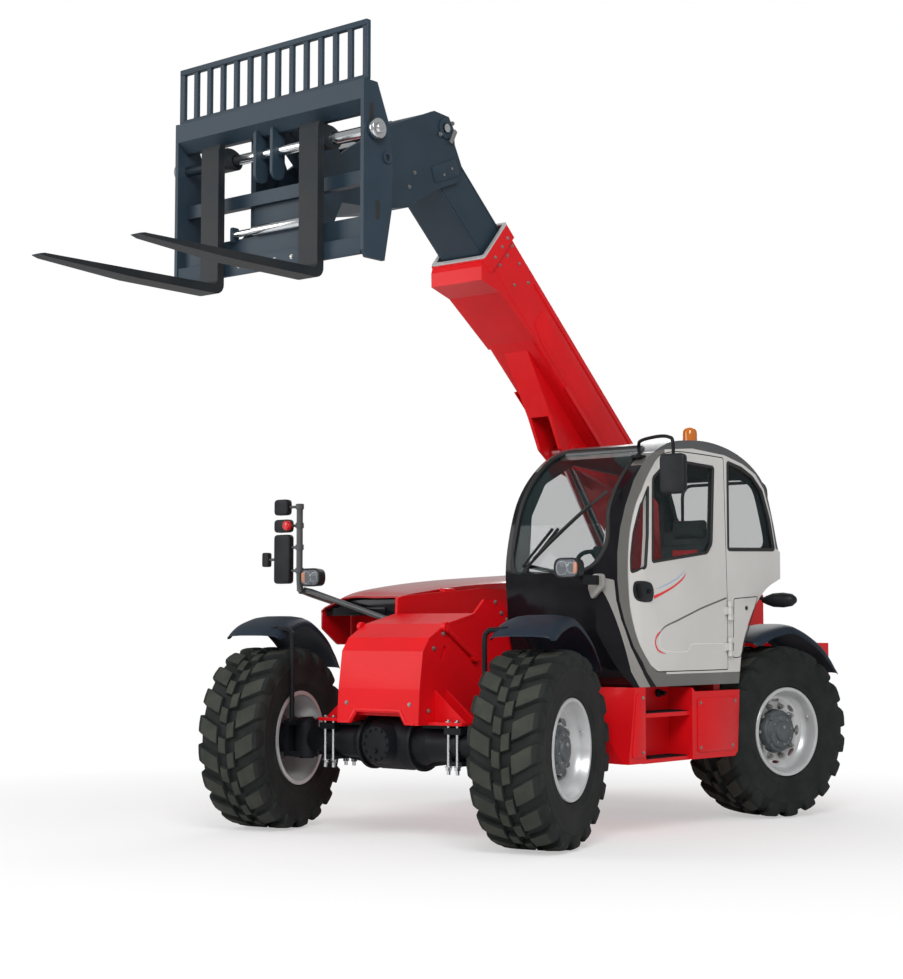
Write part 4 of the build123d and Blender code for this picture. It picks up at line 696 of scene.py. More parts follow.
# ---------------------------------------------------------------- wheels
@dataclass
class Wheel:
    """One steered wheel: its tyre with staggered lugs, its rim, planetary hub, knuckle and fender."""

    corner: str
    side: int
    behind: float
    steer: float
    radius: float = 0.59
    groove: float = 0.56
    # Beyond this radius, and facing outward, block faces get the lighter tread colour: wear plus painted light on the
    # lug tops.
    worn_lit_from: float = 0.574
    worn_lit_facing: float = 0.93
    lugs: int = 19
    inset: float = 0.25
    kingpin_x: float = 0.81
    fender_section: Outline = mm("-210 62, -206 40, -192 22, -156 9, -90 1, -10 0, 80 1, 146 9, 182 22, "
            "196 40, 200 62")
    fender_arc: Outline = mm("-300 82, -235 128, -130 172, 30 204, 140 190, 290 122, 430 26, 555 -135")

    @property
    def outward(self) -> Vector:
        """The direction from the wheel's middle to its outer face."""
        turn = math.radians(self.steer)
        return Vector((*polar(self.side, turn), 0))

    @property
    def view(self) -> Matrix:
        """A plane at the wheel's middle, its normal pointing outward."""
        kingpin = spot(self.side * self.kingpin_x, self.behind, AXLE_HEIGHT)
        return facing(kingpin + self.outward * self.inset, self.outward)

    def build(self) -> None:
        """Makes every piece of the wheel."""
        self.carcass()
        self.tread()
        self.rim()
        self.hub()
        self.knuckle()
        self.fender()

    def carcass(self) -> None:
        """The tyre's casing, with a rim guard and ribbed sidewalls."""
        wall = [*mm("-189 291.5, -191 308, -202 313, -204 322, -209 330, -215 352, -218 354, -219 360, -217 363, "
                "-222 396, -225 440, -224 478, -226 482, -225 488, -221 492, -214 522, -198 548"),
                (-0.16, self.groove - 0.002), (-0.08, self.groove)]
        profile = wall + [(0.0, self.groove + 0.001)] + [(-a, r) for a, r in reversed(wall)]
        tyre = Shape().lathe(self.view, profile, 96)
        tyre.piece(f"tyre_casing_{self.corner}", TYRE, self.body, smooth=50, replaces=f"tyre_{self.corner}")

    @property
    def body(self) -> str:
        """The body that the wheel turns with."""
        return f"wheel_{self.corner}"

    def around(self, across: float, turn: float, radius: float) -> Vector:
        """A point on the tyre at a distance across it, round it and from its axle."""
        return self.view @ Vector((*polar(radius, turn), across))

    def lug(self, shape: Shape, way: int, start: float, stations: Sequence[tuple[float, ...]]) -> None:
        """Adds one tread block that follows the tyre's curve.

        Args:
            shape: The shape that gathers the blocks.
            way: Which half of the tread it stands on, 1 outboard and -1 inboard.
            start: Where it starts round the tyre, in radians.
            stations: Per station across: distance across, top radius, foot across, foot radius,
                and the two edges round the tyre in metres.
        """
        verts: list[Vector] = []
        for across, top, foot_across, foot, low, high in stations:
            a, b = start - self.side * low / self.radius, start - self.side * high / self.radius
            lean = -self.side * 0.011 / self.radius
            verts += [self.around(way * foot_across, a - lean, foot), self.around(way * across, a, top),
                    self.around(way * across, (a + b) / 2, top + 0.0015), self.around(way * across, b, top),
                    self.around(way * foot_across, b + lean, foot)]
        n = len(stations)
        faces: list[Face] = [tuple(range(5)), tuple(range(5 * n - 5, 5 * n))]
        for i in range(n - 1):
            faces += [(5 * i + k, 5 * i + k + 1, 5 * i + k + 6, 5 * i + k + 5) for k in range(4)]
        shape.take(verts, faces)

    def tread(self) -> None:
        """Long shoulder lugs and two rows of small blocks between them."""
        top, foot = self.radius - 0.0015, self.groove - 0.006
        shoulder = [(0.066, top, 0.06, foot, -0.016, 0.092), (0.1, top, 0.1, foot, -0.002, 0.11),
                (0.15, top - 0.002, 0.15, foot, 0.024, 0.138), (0.19, top - 0.006, 0.19, foot - 0.004, 0.048, 0.158),
                (0.214, 0.572, 0.206, 0.54, 0.062, 0.168), (0.225, 0.552, 0.212, 0.52, 0.068, 0.17),
                (0.2275, 0.522, 0.216, 0.5, 0.076, 0.166), (0.226, 0.496, 0.218, 0.48, 0.086, 0.156)]
        block = [(0.002, top, -0.003, foot, -0.05, 0.046), (0.056, top, 0.06, foot, -0.034, 0.064)]
        pitch = 2 * math.pi / self.lugs
        blocks = Shape()
        for k in range(self.lugs):
            for way, shift in ((1, 0.0), (-1, 0.5)):
                start = (k + shift) * pitch
                self.lug(blocks, way, start, shoulder)
                self.lug(blocks, way, start + self.side * 0.16 * pitch, block)
        axle = self.view.inverted()
        turned = self.view.to_3x3().inverted()

        def on_top(centre: Vector, normal: Vector) -> bool:
            """Whether a face is part of a block's running surface: these faces take the lighter colour, partly worn
            rubber and partly painted light on the lug tops.
            """
            return (axle @ centre).xy.length > self.worn_lit_from and (turned @ normal).xy.length > self.worn_lit_facing

        blocks.piece(f"tyre_tread_{self.corner}", TYRE, self.body, bevel=0.004, smooth=35, segments=1,
                replaces=f"tyre_{self.corner}", zones=((TREAD, on_top),))

    def rim(self) -> None:
        """The pressed rim with its flanges, its dished disc with oval holes, and a valve."""
        well = mm("-206 305, -194 305, -192 290.7, -150 287, -110 262, 60 262, 110 287, 192 290.7, 194 305, "
                "200 306, 206 302, 206 284, 196 278, 150 274, 122 262, 106 248, 100 242, 84 246, -112 250, "
                "-152 274, -206 280")
        rim = Shape().lathe(self.view, well, 72)
        disc = Shape().lathe(self.view,
                mm("78.5 152, 78.5 200, 88 214, 100 228, 101 247.5, 86 247.5, 74 222, 62.5 205, 62.5 152"), 72)
        holes = []
        for turn in turns(8):
            slot_line = []
            for t in turns(16):
                u, v = 0.011 * math.cos(t), 0.036 * math.sin(t)
                slot_line.append(((0.214 + u) * math.cos(turn) - v * math.sin(turn),
                        (0.214 + u) * math.sin(turn) + v * math.cos(turn)))
            holes.append(Shape().prism(self.view, slot_line, 0.03, 0.16))
        disc = cut(disc, holes)
        rim.take(disc.verts, disc.faces)
        rim.tube([self.around(0.15, 0.4, 0.262), self.around(0.178, 0.4, 0.248)], 0.006, 8)
        rim.piece(f"rim_dressed_{self.corner}", SILVER, self.body, bevel=0.002, smooth=40,
                replaces=f"rim_{self.corner}")

    def hub(self) -> None:
        """The planetary hub's stepped cover, its wheel nuts on studs and its plugs."""
        cover = mm("-50 66.5, -50 150, 30 160, 30 178, 62 178, 62 148, 124 144, 132 138, 134 118, 150 110, "
                "153 104, 153 70, 168 64, 172 56, 172 0, 23 0, 23 66.5")
        shape = Shape().lathe(self.view, cover, 64)
        for k in range(4):
            turn = math.pi * (0.25 + k / 2)
            shape.prism(self.view, circle(polar(0.128, turn), 0.018, 16), 0.128, 0.146, 0.9)
        shape.piece(f"hub_dressed_{self.corner}", HUB_GREY, self.body, bevel=0.003, smooth=35,
                replaces=f"hub_{self.corner}")
        nuts = Shape()
        places = [polar(0.1775, math.pi * k / 5) for k in range(10)]
        for place in places:
            nuts.prism(self.view, circle(place, 0.0115, 12), 0.07, 0.118)
            nuts.prism(self.view, circle(place, 0.02, 6), 0.079, 0.101, 0.95)
            nuts.prism(self.view, circle(place, 0.023, 16), 0.0785, 0.083)
        for k in range(8):
            turn = math.pi * k / 4 + 0.2
            nuts.bolts(self.view @ Matrix.Translation((0, 0, 0.1505)), [polar(0.09, turn)], 0.007, 0.008)
        nuts.bolts(self.view @ Matrix.Translation((0, 0, 0.172)), [(0.0, 0.03)], 0.012, 0.006, 1.2)
        nuts.piece(f"wheel_nuts_{self.corner}", ZINC, self.body, bevel=0.0006, segments=1)

    def knuckle(self) -> None:
        """Dresses the kept knuckle and adds its kingpin caps and their bolts."""
        dress(f"knuckle_{self.corner}", BLACK, 0.004)
        caps = Shape()
        middle = (self.side * self.kingpin_x, self.behind)
        for height, way in ((AXLE_HEIGHT + 0.1175, 1), (AXLE_HEIGHT - 0.1175, -1)):
            view = plan_view(height) @ Matrix.Diagonal((1, 1, way, 1))
            caps.prism(view, circle(middle, 0.056, 24), 0, 0.012, 0.92)
            caps.bolts(view, [polar(0.066, t, middle) for t in (0.8, 2.37, 3.94, 5.5)], 0.007, 0.009)
        caps.piece(f"kingpin_caps_{self.corner}", BLACK, f"knuckle_{self.corner}", bevel=0.0015, segments=1)

    def beside(self, across: float, along: float, height: float) -> Vector:
        """A place beside the wheel: outboard of its middle, behind its axle, above the ground."""
        turn = math.radians(self.steer)
        middle = self.view.translation
        place = middle + self.outward * across + Vector((-math.sin(turn), math.cos(turn), 0)) * along
        return Vector((place.x, place.y, height))

    def fender(self) -> None:
        """The moulded fender with rolled edges, on a bent tube that stands on the knuckle."""
        lift = 2 * self.radius - (0.0 if self.behind == 0 else 0.05)
        path = flowing([(a, lift + h) for a, h in self.fender_arc], 4)
        skin = Shape()
        rows = []
        for i, p in enumerate(path):
            step = (path[min(i + 1, len(path) - 1)] - path[max(i - 1, 0)]).normalized()
            down = Vector((step.y, -step.x))
            share = i / (len(path) - 1)
            fade = min(1.0, 6 * share + 0.5, 6 * (1 - share) + 0.4)
            narrow = 1 - 0.06 * max(0.0, 1 - 14 * share) - 0.06 * max(0.0, 1 - 14 * (1 - share))
            row = []
            for across, drop in self.fender_section:
                q = p + down * (drop * fade + 0.001)
                row.append(self.beside(-0.005 + (across + 0.005) * narrow, q.x, q.y))
            rows.append(row)
        skin.sheet(rows, 0.006)
        skin.piece(f"fender_skin_{self.corner}", FENDER, f"knuckle_{self.corner}", smooth=60,
                replaces=f"fender_{self.corner}")
        foot, arm = 0.7076, lift + self.fender_arc[1][1] - 0.014
        at = -0.215
        tube = Shape().tube(flowing([self.beside(-0.264, at, foot + 0.008), self.beside(-0.264, at, foot + 0.3),
                self.beside(-0.264, at, arm - 0.06), self.beside(-0.246, at, arm - 0.014), self.beside(-0.2, at, arm),
                self.beside(0.02, at, arm)], 5), 0.0158, 14)
        for across in (-0.13, 0.0):
            clamp = facing(self.beside(across, at, arm), self.outward)
            tube.prism(clamp, circle((0, 0), 0.021, 16), -0.018, 0.018)
        strip = facing(self.beside(-0.264, at / 2, foot), (0, 0, 1)) @ Matrix.Rotation(math.radians(self.steer), 4,
                "Z")
        tube.plate(strip, pad((0, 0), 0.032, 0.295, 0.01), 0.0, 0.02, edge=0.003)
        tube.bolts(strip, [(0, 0.12), (0, 0.06)], 0.008, 0.028)
        tube.piece(f"fender_post_{self.corner}", BLACK, f"knuckle_{self.corner}", smooth=50,
                replaces=f"fender_{self.corner}")


# ---------------------------------------------------------------- axles
@dataclass
class Axle:
    """One axle's fittings: cover bolts, ribs and mounting studs."""

    end: str
    behind: float
    way: int
    stud_x: tuple[float, ...] = (0.478, 0.548)
    stud_rows: tuple[float, ...] = (-0.098, 0.098)

    def build(self) -> None:
        """Makes the axle's pieces."""
        dress(f"{self.end}_axle", BLACK, 0.004)
        self.studs()
        self.cover()

    def studs(self) -> None:
        """Bright studs with nuts that clamp the axle to the frame's pads."""
        studs = Shape()
        nut = 0.019
        for side in (-1, 1):
            for x in self.stud_x:
                for row in self.stud_rows:
                    place = (side * x, self.behind + row)
                    studs.prism(plan_view(0.42), circle(place, 0.0115, 16), 0, 0.33)
                    for height, washer in ((0.446, 0.446 + nut), (0.722, 0.722 - 0.004)):
                        studs.prism(plan_view(height), circle(place, 0.021, 6), 0, nut)
                        studs.prism(plan_view(washer), circle(place, 0.024, 16), 0, 0.004)
        studs.piece(f"axle_studs_{self.end}", BRIGHT, bevel=0.001, segments=1)

    def cover(self) -> None:
        """The ring of bolts and the filler on the differential's cover."""
        view = front_view(self.behind + self.way * 0.2305) @ Matrix.Diagonal((1, 1, -self.way, 1))
        bolts = Shape().bolts(view, circle((0.0, AXLE_HEIGHT), 0.094, 12), 0.008, 0.01)
        bolts.bolts(view, [(0.0, AXLE_HEIGHT - 0.04)], 0.013, 0.012)
        bolts.piece(f"axle_cover_bolts_{self.end}", BLACK, bevel=0.0008, segments=1)
        ribs = Shape()
        for side in (-1, 1):
            for height in (-1, 1):
                ribs.prism(front_view(self.behind + 0.008), [(side * 0.18, AXLE_HEIGHT + height * 0.15),
                        (side * 0.5, AXLE_HEIGHT + height * 0.104), (side * 0.5, AXLE_HEIGHT + height * 0.06),
                        (side * 0.18, AXLE_HEIGHT + height * 0.08)], 0, 0.016)
            ribs.lathe(facing(spot(side * 0.205, self.behind, AXLE_HEIGHT), (1, 0, 0)),
                    mm("-12 100, -12 170, 12 170, 12 100"), 40)
        ribs.piece(f"axle_ribs_{self.end}", BLACK, bevel=0.003)


# ---------------------------------------------------------------- studio
@dataclass
class Studio:
    """The plain floor, soft light and the camera."""

    camera_place: tuple[float, float, float] = (7.706, -9.518, 1.305)
    camera_turn: tuple[float, float, float] = (94.27, 0.0, 39.65)
    lens: float = 68.2
    sky: float = 0.44
    floor_white: float = 0.46

    def build(self) -> None:
        """Makes the stage, the lamps and the camera."""
        self.floor()
        self.world()
        self.lamp("key_light", (6.5, -7.5, 7.5), (0, 0, 1.6), 4.5, 760.0)
        self.lamp("front_light", (-5.5, -8.0, 5.0), (0, -0.5, 1.8), 5.0, 300.0)
        self.lamp("back_light", (-3.0, 8.5, 6.5), (0, 0, 2.2), 5.0, 260.0)
        self.camera()

    def floor(self) -> None:
        """A pale floor that shows near white and keeps the machine's shadow."""
        material = bpy.data.materials.new("studio_floor")
        material.use_nodes = True
        tree = material.node_tree
        tree.nodes.clear()
        diffuse = add_node(tree, "BsdfDiffuse", {"Color": (0.93, 0.93, 0.93, 1)})
        white = add_node(tree, "Emission", {"Strength": 1.0})
        rays = add_node(tree, "LightPath")
        place = add_node(tree, "NewGeometry").outputs["Position"]
        distance = add_node(tree, "VectorMath", {0: place}, "LENGTH")
        fade = add_node(tree, "MapRange", {"From Min": 2.8, "From Max": 6.0, "To Min": self.floor_white,
                "To Max": 1.0, "Value": distance.outputs["Value"]})
        seen = add_node(tree, "Math", {0: rays.outputs["Is Camera Ray"], 1: fade.outputs["Result"]}, "MULTIPLY")
        mix = add_node(tree, "MixShader", {"Fac": seen.outputs[0], 1: diffuse.outputs[0], 2: white.outputs[0]})
        add_node(tree, "OutputMaterial", {"Surface": mix.outputs[0]})
        size = 60.0
        mesh = bpy.data.meshes.new("floor")
        mesh.from_pydata([(-size, -size, 0), (size, -size, 0), (size, size, 0), (-size, size, 0)], [], [(0, 1, 2, 3)])
        mesh.materials.append(material)
        thing = add_object("floor", mesh)
        thing.location.z = -0.001

    def world(self) -> None:
        """An even pale sky: white to the camera, softer as light."""
        world = bpy.data.worlds.new("studio_sky")
        world.use_nodes = True
        bpy.context.scene.world = world
        tree = world.node_tree
        rays = add_node(tree, "LightPath")
        clear = add_node(tree, "Math", {0: rays.outputs["Is Camera Ray"], 1: rays.outputs["Is Transmission Ray"]},
                "MAXIMUM")
        level = add_node(tree, "MapRange", {"To Min": self.sky, "To Max": 1.0, "Value": clear.outputs[0]})
        feed(tree, tree.nodes["Background"], {"Color": (1, 1, 1, 1), "Strength": level.outputs["Result"]})

    def lamp(self, name: str, place: Sequence[float], target: Sequence[float], size: float, power: float) -> None:
        """Adds one soft square lamp aimed at a point."""
        data = bpy.data.lights.new(name, "AREA")
        data.size = size
        data.energy = power
        thing = add_object(name, data)
        thing.location = place
        thing.rotation_euler = (Vector(target) - Vector(place)).to_track_quat("-Z", "Y").to_euler()

    def camera(self) -> None:
        """The camera at the usual three-quarter viewing angle."""
        data = bpy.data.cameras.new("camera")
        data.lens = self.lens
        thing = add_object("camera", data)
        thing.location = self.camera_place
        thing.rotation_euler = [math.radians(a) for a in self.camera_turn]
        bpy.context.scene.camera = thing
        bpy.context.scene.view_settings.view_transform = "Standard"


# ---------------------------------------------------------------- cab
@dataclass
class Cab:
    """The offset cab: shell, glazing, door, wiper, mirror and what shows inside."""

    wall: float = 0.04
    far: float = CAB_SIDE_X + 0.05
    hinge: Flat = (1.216, 1.95)
    hinge_heights: Flat = (1.18, 1.42)
    pane_corner: float = 0.022
    screen_corner: float = 0.09
    upper: Outline = mm("860 935, 745 1050, 665 1250, 645 1420, 622 1650, 650 1850, 722 2071, 820 2220, 958 2348, "
            "1110 2440, 1294 2506, 1600 2535, 1850 2525, 2090 2480, 2305 2396, 2455 2278, 2552 2075, "
            "2625 1868, 2658 1834")
    lower: Outline = mm("2658 1648, 2460 1573, 2279 1422, 2141 1190, 2085 935")
    plan: Outline = mm("355 560, 600 562, 850 590, 1040 655, 1150 760, 1200 930")
    door_front: Outline = mm("1645 2450, 1362 2448, 1200 2424, 1107 2383, 991 2259, 893 2106, 839 1947, 817 1780, "
            "815 1603, 835 1396, 910 1188, 1020 1065")
    door_rear: Outline = mm("1100 1026, 1950 1026, 1950 1515, 1917 2446")
    door_window: Outline = mm("1048 1722, 1700 1800, 1758 1862, 1790 2372, 1300 2385, 1195 2345, 1060 2255")
    quarter_window: Outline = mm("840 1650, 978 1684, 1002 1900, 1010 2205, 920 2072, 862 1900, 840 1756")
    rear_side_window: Outline = mm("1965 1830, 2575 1848, 2510 2060, 2412 2248, 2290 2336, 2150 2386, 1965 2418")
    inner_window: Outline = mm("820 1650, 2450 1700, 2405 2200, 2190 2345, 1330 2400, 1000 2250, 850 2030")
    roof_edge: Outline = mm("400 2420, 1060 2420, 1180 2446, 1530 2478, 1930 2462, 2165 2418, 2335 2358, 2445 2262, "
            "2540 2070, 2602 1852, 2750 1852, 2750 2700, 400 2700")
    pillar_edge: Outline = mm("400 800, 1100 920, 974 1032, 858 1189, 790 1340, 757 1470, 745 1602, 746 1778, "
            "762 1924, 800 2071, 868 2232, 950 2352, 1061 2425, 1240 2500, 1240 2700, 400 2700")
    flange: Outline = mm("640 1630, 690 1500, 723 1396, 788 1189, 835 1034, 930 900, 1050 900, 940 1018, 833 1189, "
            "765 1360, 738 1480, 728 1602")
    pillar_band: Outline = mm("400 800, 2200 800, 2200 1012, 1200 1012, 1200 2600, 400 2600")
    # Each stripe's line: behind the axle, height, and its width there.
    stripes: tuple[tuple[str, Finish, Line], ...] = (
        ("door_stripe_red", STRIPE_RED, mm("1062 1498 22, 1160 1526 16, 1290 1570 13, 1395 1620 12, 1440 1660 3")),
        ("door_stripe_blue", STRIPE_BLUE, mm("1090 1552 3, 1190 1576 6, 1320 1618 7, 1400 1660 5, 1428 1688 2")),
        ("door_hook_red", STRIPE_RED, mm("1190 1140 4, 1105 1165 12, 1075 1215 14, 1100 1262 12, 1150 1290 2")),
        ("door_hook_white", STRIPE_WHITE,
         mm("1165 1282 2, 1128 1250 6, 1118 1210 8, 1150 1172 7, 1230 1155 6, 1420 1152 6, 1470 1170 6, "
            "1490 1195 6, 1560 1202 6, 1880 1202 6")))
    screen: Outline = mm("400 1640, 1010 1660, 1100 1820, 1100 2470, 400 2470")
    rear_screen: Outline = mm("430 1850, 1120 1850, 1120 2330, 430 2330")

    @property
    def middle_x(self) -> float:
        """The cab's middle across the machine."""
        return (CAB_INNER_X + CAB_SIDE_X) / 2

    def build(self) -> None:
        """Makes every piece of the cab."""
        self.shell()
        self.glazing()
        self.seals()
        self.door_fittings()
        self.wiper()
        self.outside_fittings()
        self.inside()

    def outline(self, inset: float) -> list[Flat]:
        """The cab's side outline moved inward."""
        line = swept(self.upper, 4) + swept(self.lower, 3)
        return shrunk(line, inset)

    def door_line(self) -> list[Flat]:
        """The door's side outline: a swept front edge, then straight edges with small corners."""
        front = swept(self.door_front, 4)
        return [*front, *rounded([front[-1], *self.door_rear, front[0]], 0.02, 4)[5:-5]]

    def envelope(self, inset: float) -> Shape:
        """The cab's outer form moved inward: its side outline crossed with its curved plan."""
        side = Shape().prism(side_view(0), self.outline(inset), CAB_INNER_X + inset, CAB_SIDE_X - inset)
        front = swept(self.plan, 5)
        plan = shrunk([*front, (CAB_SIDE_X, 2.75), (CAB_INNER_X, 2.75)], inset)
        return cut(side, [Shape().prism(plan_view(0), plan, 0.8, 2.7)], keep=True)

    def side_prism(self, line: Line, low: float, high: float, grow: float = 0.0) -> Shape:
        """A prism of a rounded side outline between two X places."""
        return Shape().prism(side_view(0), shrunk(rounded(line, self.pane_corner, 5), -grow), low, high)

    def front_prism(self, line: Line, start: float, end: float, grow: float = 0.0) -> Shape:
        """A prism of a rounded front outline between two places along the machine."""
        return Shape().prism(front_view(0), shrunk(rounded(line, self.screen_corner, 5), -grow), -end, -start)

    def openings(self, grow: float) -> list[Shape]:
        """The frame's window openings as solids: the side, the inner side, the front and the rear."""
        return [self.side_prism(self.rear_side_window, self.middle_x, self.far, grow),
                self.side_prism(self.inner_window, 0.3, self.middle_x, grow),
                self.front_prism(self.screen, 0.4, 1.15, grow), self.front_prism(self.rear_screen, 2.3, 2.75, grow)]

    def shell(self) -> None:
        """The cab's frame and the door's frame, cut from one shell where the real panels part."""
        outer, inner = self.envelope(0.0), self.envelope(self.wall)
        skin = cut(outer, [inner])
        door_line = self.door_line()
        zone = Shape().prism(side_view(0), door_line, self.middle_x + 0.2, self.far)
        zone_inner = Shape().prism(side_view(0), shrunk(door_line, 0.006), self.middle_x + 0.2, self.far)
        body = cut(skin, [zone, *self.openings(0.0)])
        middle = spot(self.middle_x, 1.6, 1.8)

        def inside(centre: Vector, normal: Vector) -> bool:
            """Whether a face looks into the cab."""
            return normal.dot(centre - middle) < -0.02

        bands = (("cab_flange", self.flange, FLANGE_GREY, 0.98),
                ("cab_front_panel", self.pillar_edge, GLOSS_BLACK, 0.2), ("cab_roof", self.roof_edge, ROOF_GREY, 0.2),
                ("cab_pillar", self.pillar_band, PILLAR_GREY, 0.2))
        for name, line, finish, low in bands:
            zone = Shape().prism(side_view(0), line, low, self.far)
            part = cut(body, [zone], keep=True)
            part.piece(name, finish, slot="cab_grey_paint", bevel=0.004, smooth=28, replaces="cab_frame",
                    zones=((BLACK_PLASTIC, inside),))
            body = cut(body, [zone])
        body.piece("cab_shell", CAB_GREY, bevel=0.006, smooth=28, replaces="cab_frame",
                zones=((BLACK_PLASTIC, inside),))
        leaf = cut(skin, [zone_inner], keep=True)
        leaf = cut(leaf, [self.side_prism(line, self.middle_x, self.far)
                for line in (self.quarter_window, self.door_window)])
        leaf.piece("door_leaf", CAB_GREY, "door", bevel=0.005, smooth=28, replaces="door_frame",
                zones=((BLACK_PLASTIC, inside),))

    def front_y(self, x: float, z: float) -> float:
        """How far behind the axle the windscreen's face lies at a place on it."""
        def along(line: Line, value: float, axis: int) -> float:
            """The other coordinate of a rising line where one coordinate has a value."""
            for a, b in zip(line, line[1:]):
                if a[axis] <= value <= b[axis]:
                    share = (value - a[axis]) / max(b[axis] - a[axis], 1e-9)
                    return a[1 - axis] + share * (b[1 - axis] - a[1 - axis])
            return line[-1][1 - axis]
        side = along(self.rising_front(), z, 1)
        plan = along(swept(self.plan, 5), x, 0)
        blend = 0.03
        gap = side - plan
        return (side + plan + math.sqrt(gap * gap + blend * blend)) / 2 - blend * 0.5 * math.exp(-abs(gap) / blend)

    def rising_front(self) -> list[Flat]:
        """The front half of the side outline, from the sill up over the brow."""
        return swept(self.upper[4:13], 4)

    def glazing(self) -> None:
        """The panes, each a thin curved sheet set in its opening."""
        depth, thick, gap = 0.012, 0.006, 0.0005
        skin = cut(self.envelope(depth), [self.envelope(depth + thick)])
        side, *others = self.openings(-gap)
        fixed = cut(skin, [side], keep=True)
        for tool in others:
            part = cut(skin, [tool], keep=True)
            fixed.take(part.verts, part.faces)
        fixed.piece("cab_panes", GLASS, smooth=40, replaces="cab_glass")
        panes = Shape()
        for line in (self.quarter_window, self.door_window):
            part = cut(skin, [self.side_prism(line, self.middle_x, self.far, -gap)], keep=True)
            panes.take(part.verts, part.faces)
        panes.piece("door_panes", GLASS, "door", smooth=40, replaces="door_glass")

    def side_x(self, behind: float) -> float:
        """The cab side's X at a distance behind the axle, from its curved plan."""
        line = swept(self.plan, 5)
        for a, b in zip(line, line[1:]):
            if a[1] <= behind <= b[1] and a[0] > 0.8:
                return a[0] + (behind - a[1]) / max(b[1] - a[1], 1e-9) * (b[0] - a[0])
        return CAB_SIDE_X

    def on_side(self, line: Line, corner: float, proud: float) -> list[Vector]:
        """A rounded side outline laid on the cab's outer face."""
        return [spot(self.side_x(y) + proud, y, z) for y, z in rounded(line, corner, 5)]

    def seals(self) -> None:
        """Rubber seals round the panes and the door's opening."""
        door = Shape().tube(self.on_side(self.door_window, self.pane_corner, -0.006), 0.012, 8, closed=True)
        door.tube(self.on_side(self.quarter_window, self.pane_corner, -0.006), 0.01, 8, closed=True)
        door.piece("door_seals", SEAL, "door", smooth=60)
        body = Shape().tube(self.on_side(self.rear_side_window, self.pane_corner, -0.006), 0.014, 8, closed=True)
        screen = [spot(x, self.front_y(x, z) + 0.006, z)
                for x, z in [p.to_tuple() for p in dense(rounded(self.screen, self.screen_corner, 5), 0.05)]]
        body.tube(screen, 0.015, 8, closed=True)
        rear = [spot(x, 2.612, z) for x, z in rounded(self.rear_screen, self.screen_corner, 5)]
        body.tube(rear, 0.012, 8, closed=True)
        gap = self.door_line()
        body.tube([spot(self.side_x(y) - 0.022, y, z) for y, z in gap], 0.01, 8, closed=True)
        body.piece("cab_seals", SEAL, smooth=60)
        hinges = Shape()
        leaves = Shape()
        x, y = self.hinge
        for height in self.hinge_heights:
            for low, high in ((height - 0.062, height - 0.027), (height + 0.027, height + 0.062)):
                hinges.prism(plan_view(0), circle(self.hinge, 0.0145, 20), low, high)
                hinges.prism(plan_view(0), rectangle((x - 0.008, y + 0.024), 0.018, 0.048), low, high)
            low, high = height - 0.025, height + 0.025
            leaves.prism(plan_view(0), circle(self.hinge, 0.0145, 20), low, high)
            leaves.prism(plan_view(0), rectangle((x - 0.008, y - 0.033), 0.018, 0.024), low, high)
            leaves.prism(plan_view(0), rectangle((x - 0.006, y - 0.013), 0.012, 0.026), low, high)
        hinges.piece("door_hinges_fixed", CAB_GREY, bevel=0.002)
        leaves.piece("door_hinge_leaves", CAB_GREY, "door", bevel=0.002)

    def ribbon(self, line: Line, proud: float = 0.0012) -> Shape:
        """A thin painted band laid on the door's face.

        Args:
            line: Its middle line as (behind, height, width there).
            proud: How far it stands off the face.

        Returns:
            The band's shape.
        """
        path = flowing(line, 6)
        rows = []
        for i, p in enumerate(path):
            step = path[min(i + 1, len(path) - 1)] - path[max(i - 1, 0)]
            square = Vector((-step.y, step.x)).normalized() * p.z / 2
            rows.append([(self.side_x(p.x + s * square.x) + proud, FRONT_AXLE_Y + p.x + s * square.x,
                    p.y + s * square.y) for s in (-1, 1)])
        return Shape().sheet(rows)

    def door_fittings(self) -> None:
        """The recessed handle, a dark band painted as the pressed crease's shade, and the painted swooshes."""
        view = facing(spot(1.1965, 0.95, 1.53), (math.cos(0.11), -math.sin(0.11), 0))
        cup = Shape().plate(view, rounded(mm("-100 20, -85 -45, -20 -66, 85 -60, 100 10, 75 60, -10 72, -85 66"),
                0.03, 4), -0.03, 0.006, edge=0.003)
        cup.piece("door_handle_cup", BLACK_PLASTIC, "door")
        grip = Shape().plate(view, rounded(mm("-80 40, -60 -40, -22 -44, -36 54"), 0.02, 4), 0.005, 0.018, edge=0.004)
        grip.prism(view, circle((0.045, 0.005), 0.015, 20), 0.005, 0.013)
        grip.piece("door_handle_grip", GLOSS_BLACK, "door", smooth=50)
        # The crease is a thin dark band laid on the door: painted shade where the pressed fold would be.
        crease = mm("1095 1247 3, 1180 1310 10, 1332 1353 12, 1500 1400 12, 1644 1439 12, 1935 1505 12")
        self.ribbon(crease, 0.001).piece("door_crease_shade", PILLAR_GREY, "door", smooth=60)
        for name, finish, line in self.stripes:
            self.ribbon(line).piece(name, finish, "door")

    def wiper(self) -> None:
        """The long wiper on its two arms, parked across the windscreen."""
        def on_glass(x: float, z: float, proud: float) -> Vector:
            """A place in front of the windscreen."""
            return spot(x, self.front_y(x, z) - proud, z)
        arms = Shape()
        for shift in (0.0, 0.045):
            arms.tube([on_glass(0.43 + shift, 1.585, 0.03), on_glass(0.52 + shift, 1.7, 0.035),
                    on_glass(0.72 + shift, 1.93, 0.034)], 0.01, 8)
        arms.prism(facing(on_glass(0.445, 1.575, 0.0), (0, -1, 0)), circle((0, 0), 0.026, 20), -0.01, 0.046, 0.9)
        arms.piece("wiper_arms", BLACK_TRIM, smooth=50)
        blade = Shape()
        line = [on_glass(0.5 + 0.56 * t, 1.66 + 0.5 * t, 0.014) for t in [k / 12 for k in range(13)]]
        blade.tube(line, 0.013, 8, flat=0.6)
        blade.tube([p - Vector((0, 0.012, 0)) for p in line[2:11]], 0.01, 8)
        blade.piece("wiper_blade", SEAL, smooth=50)

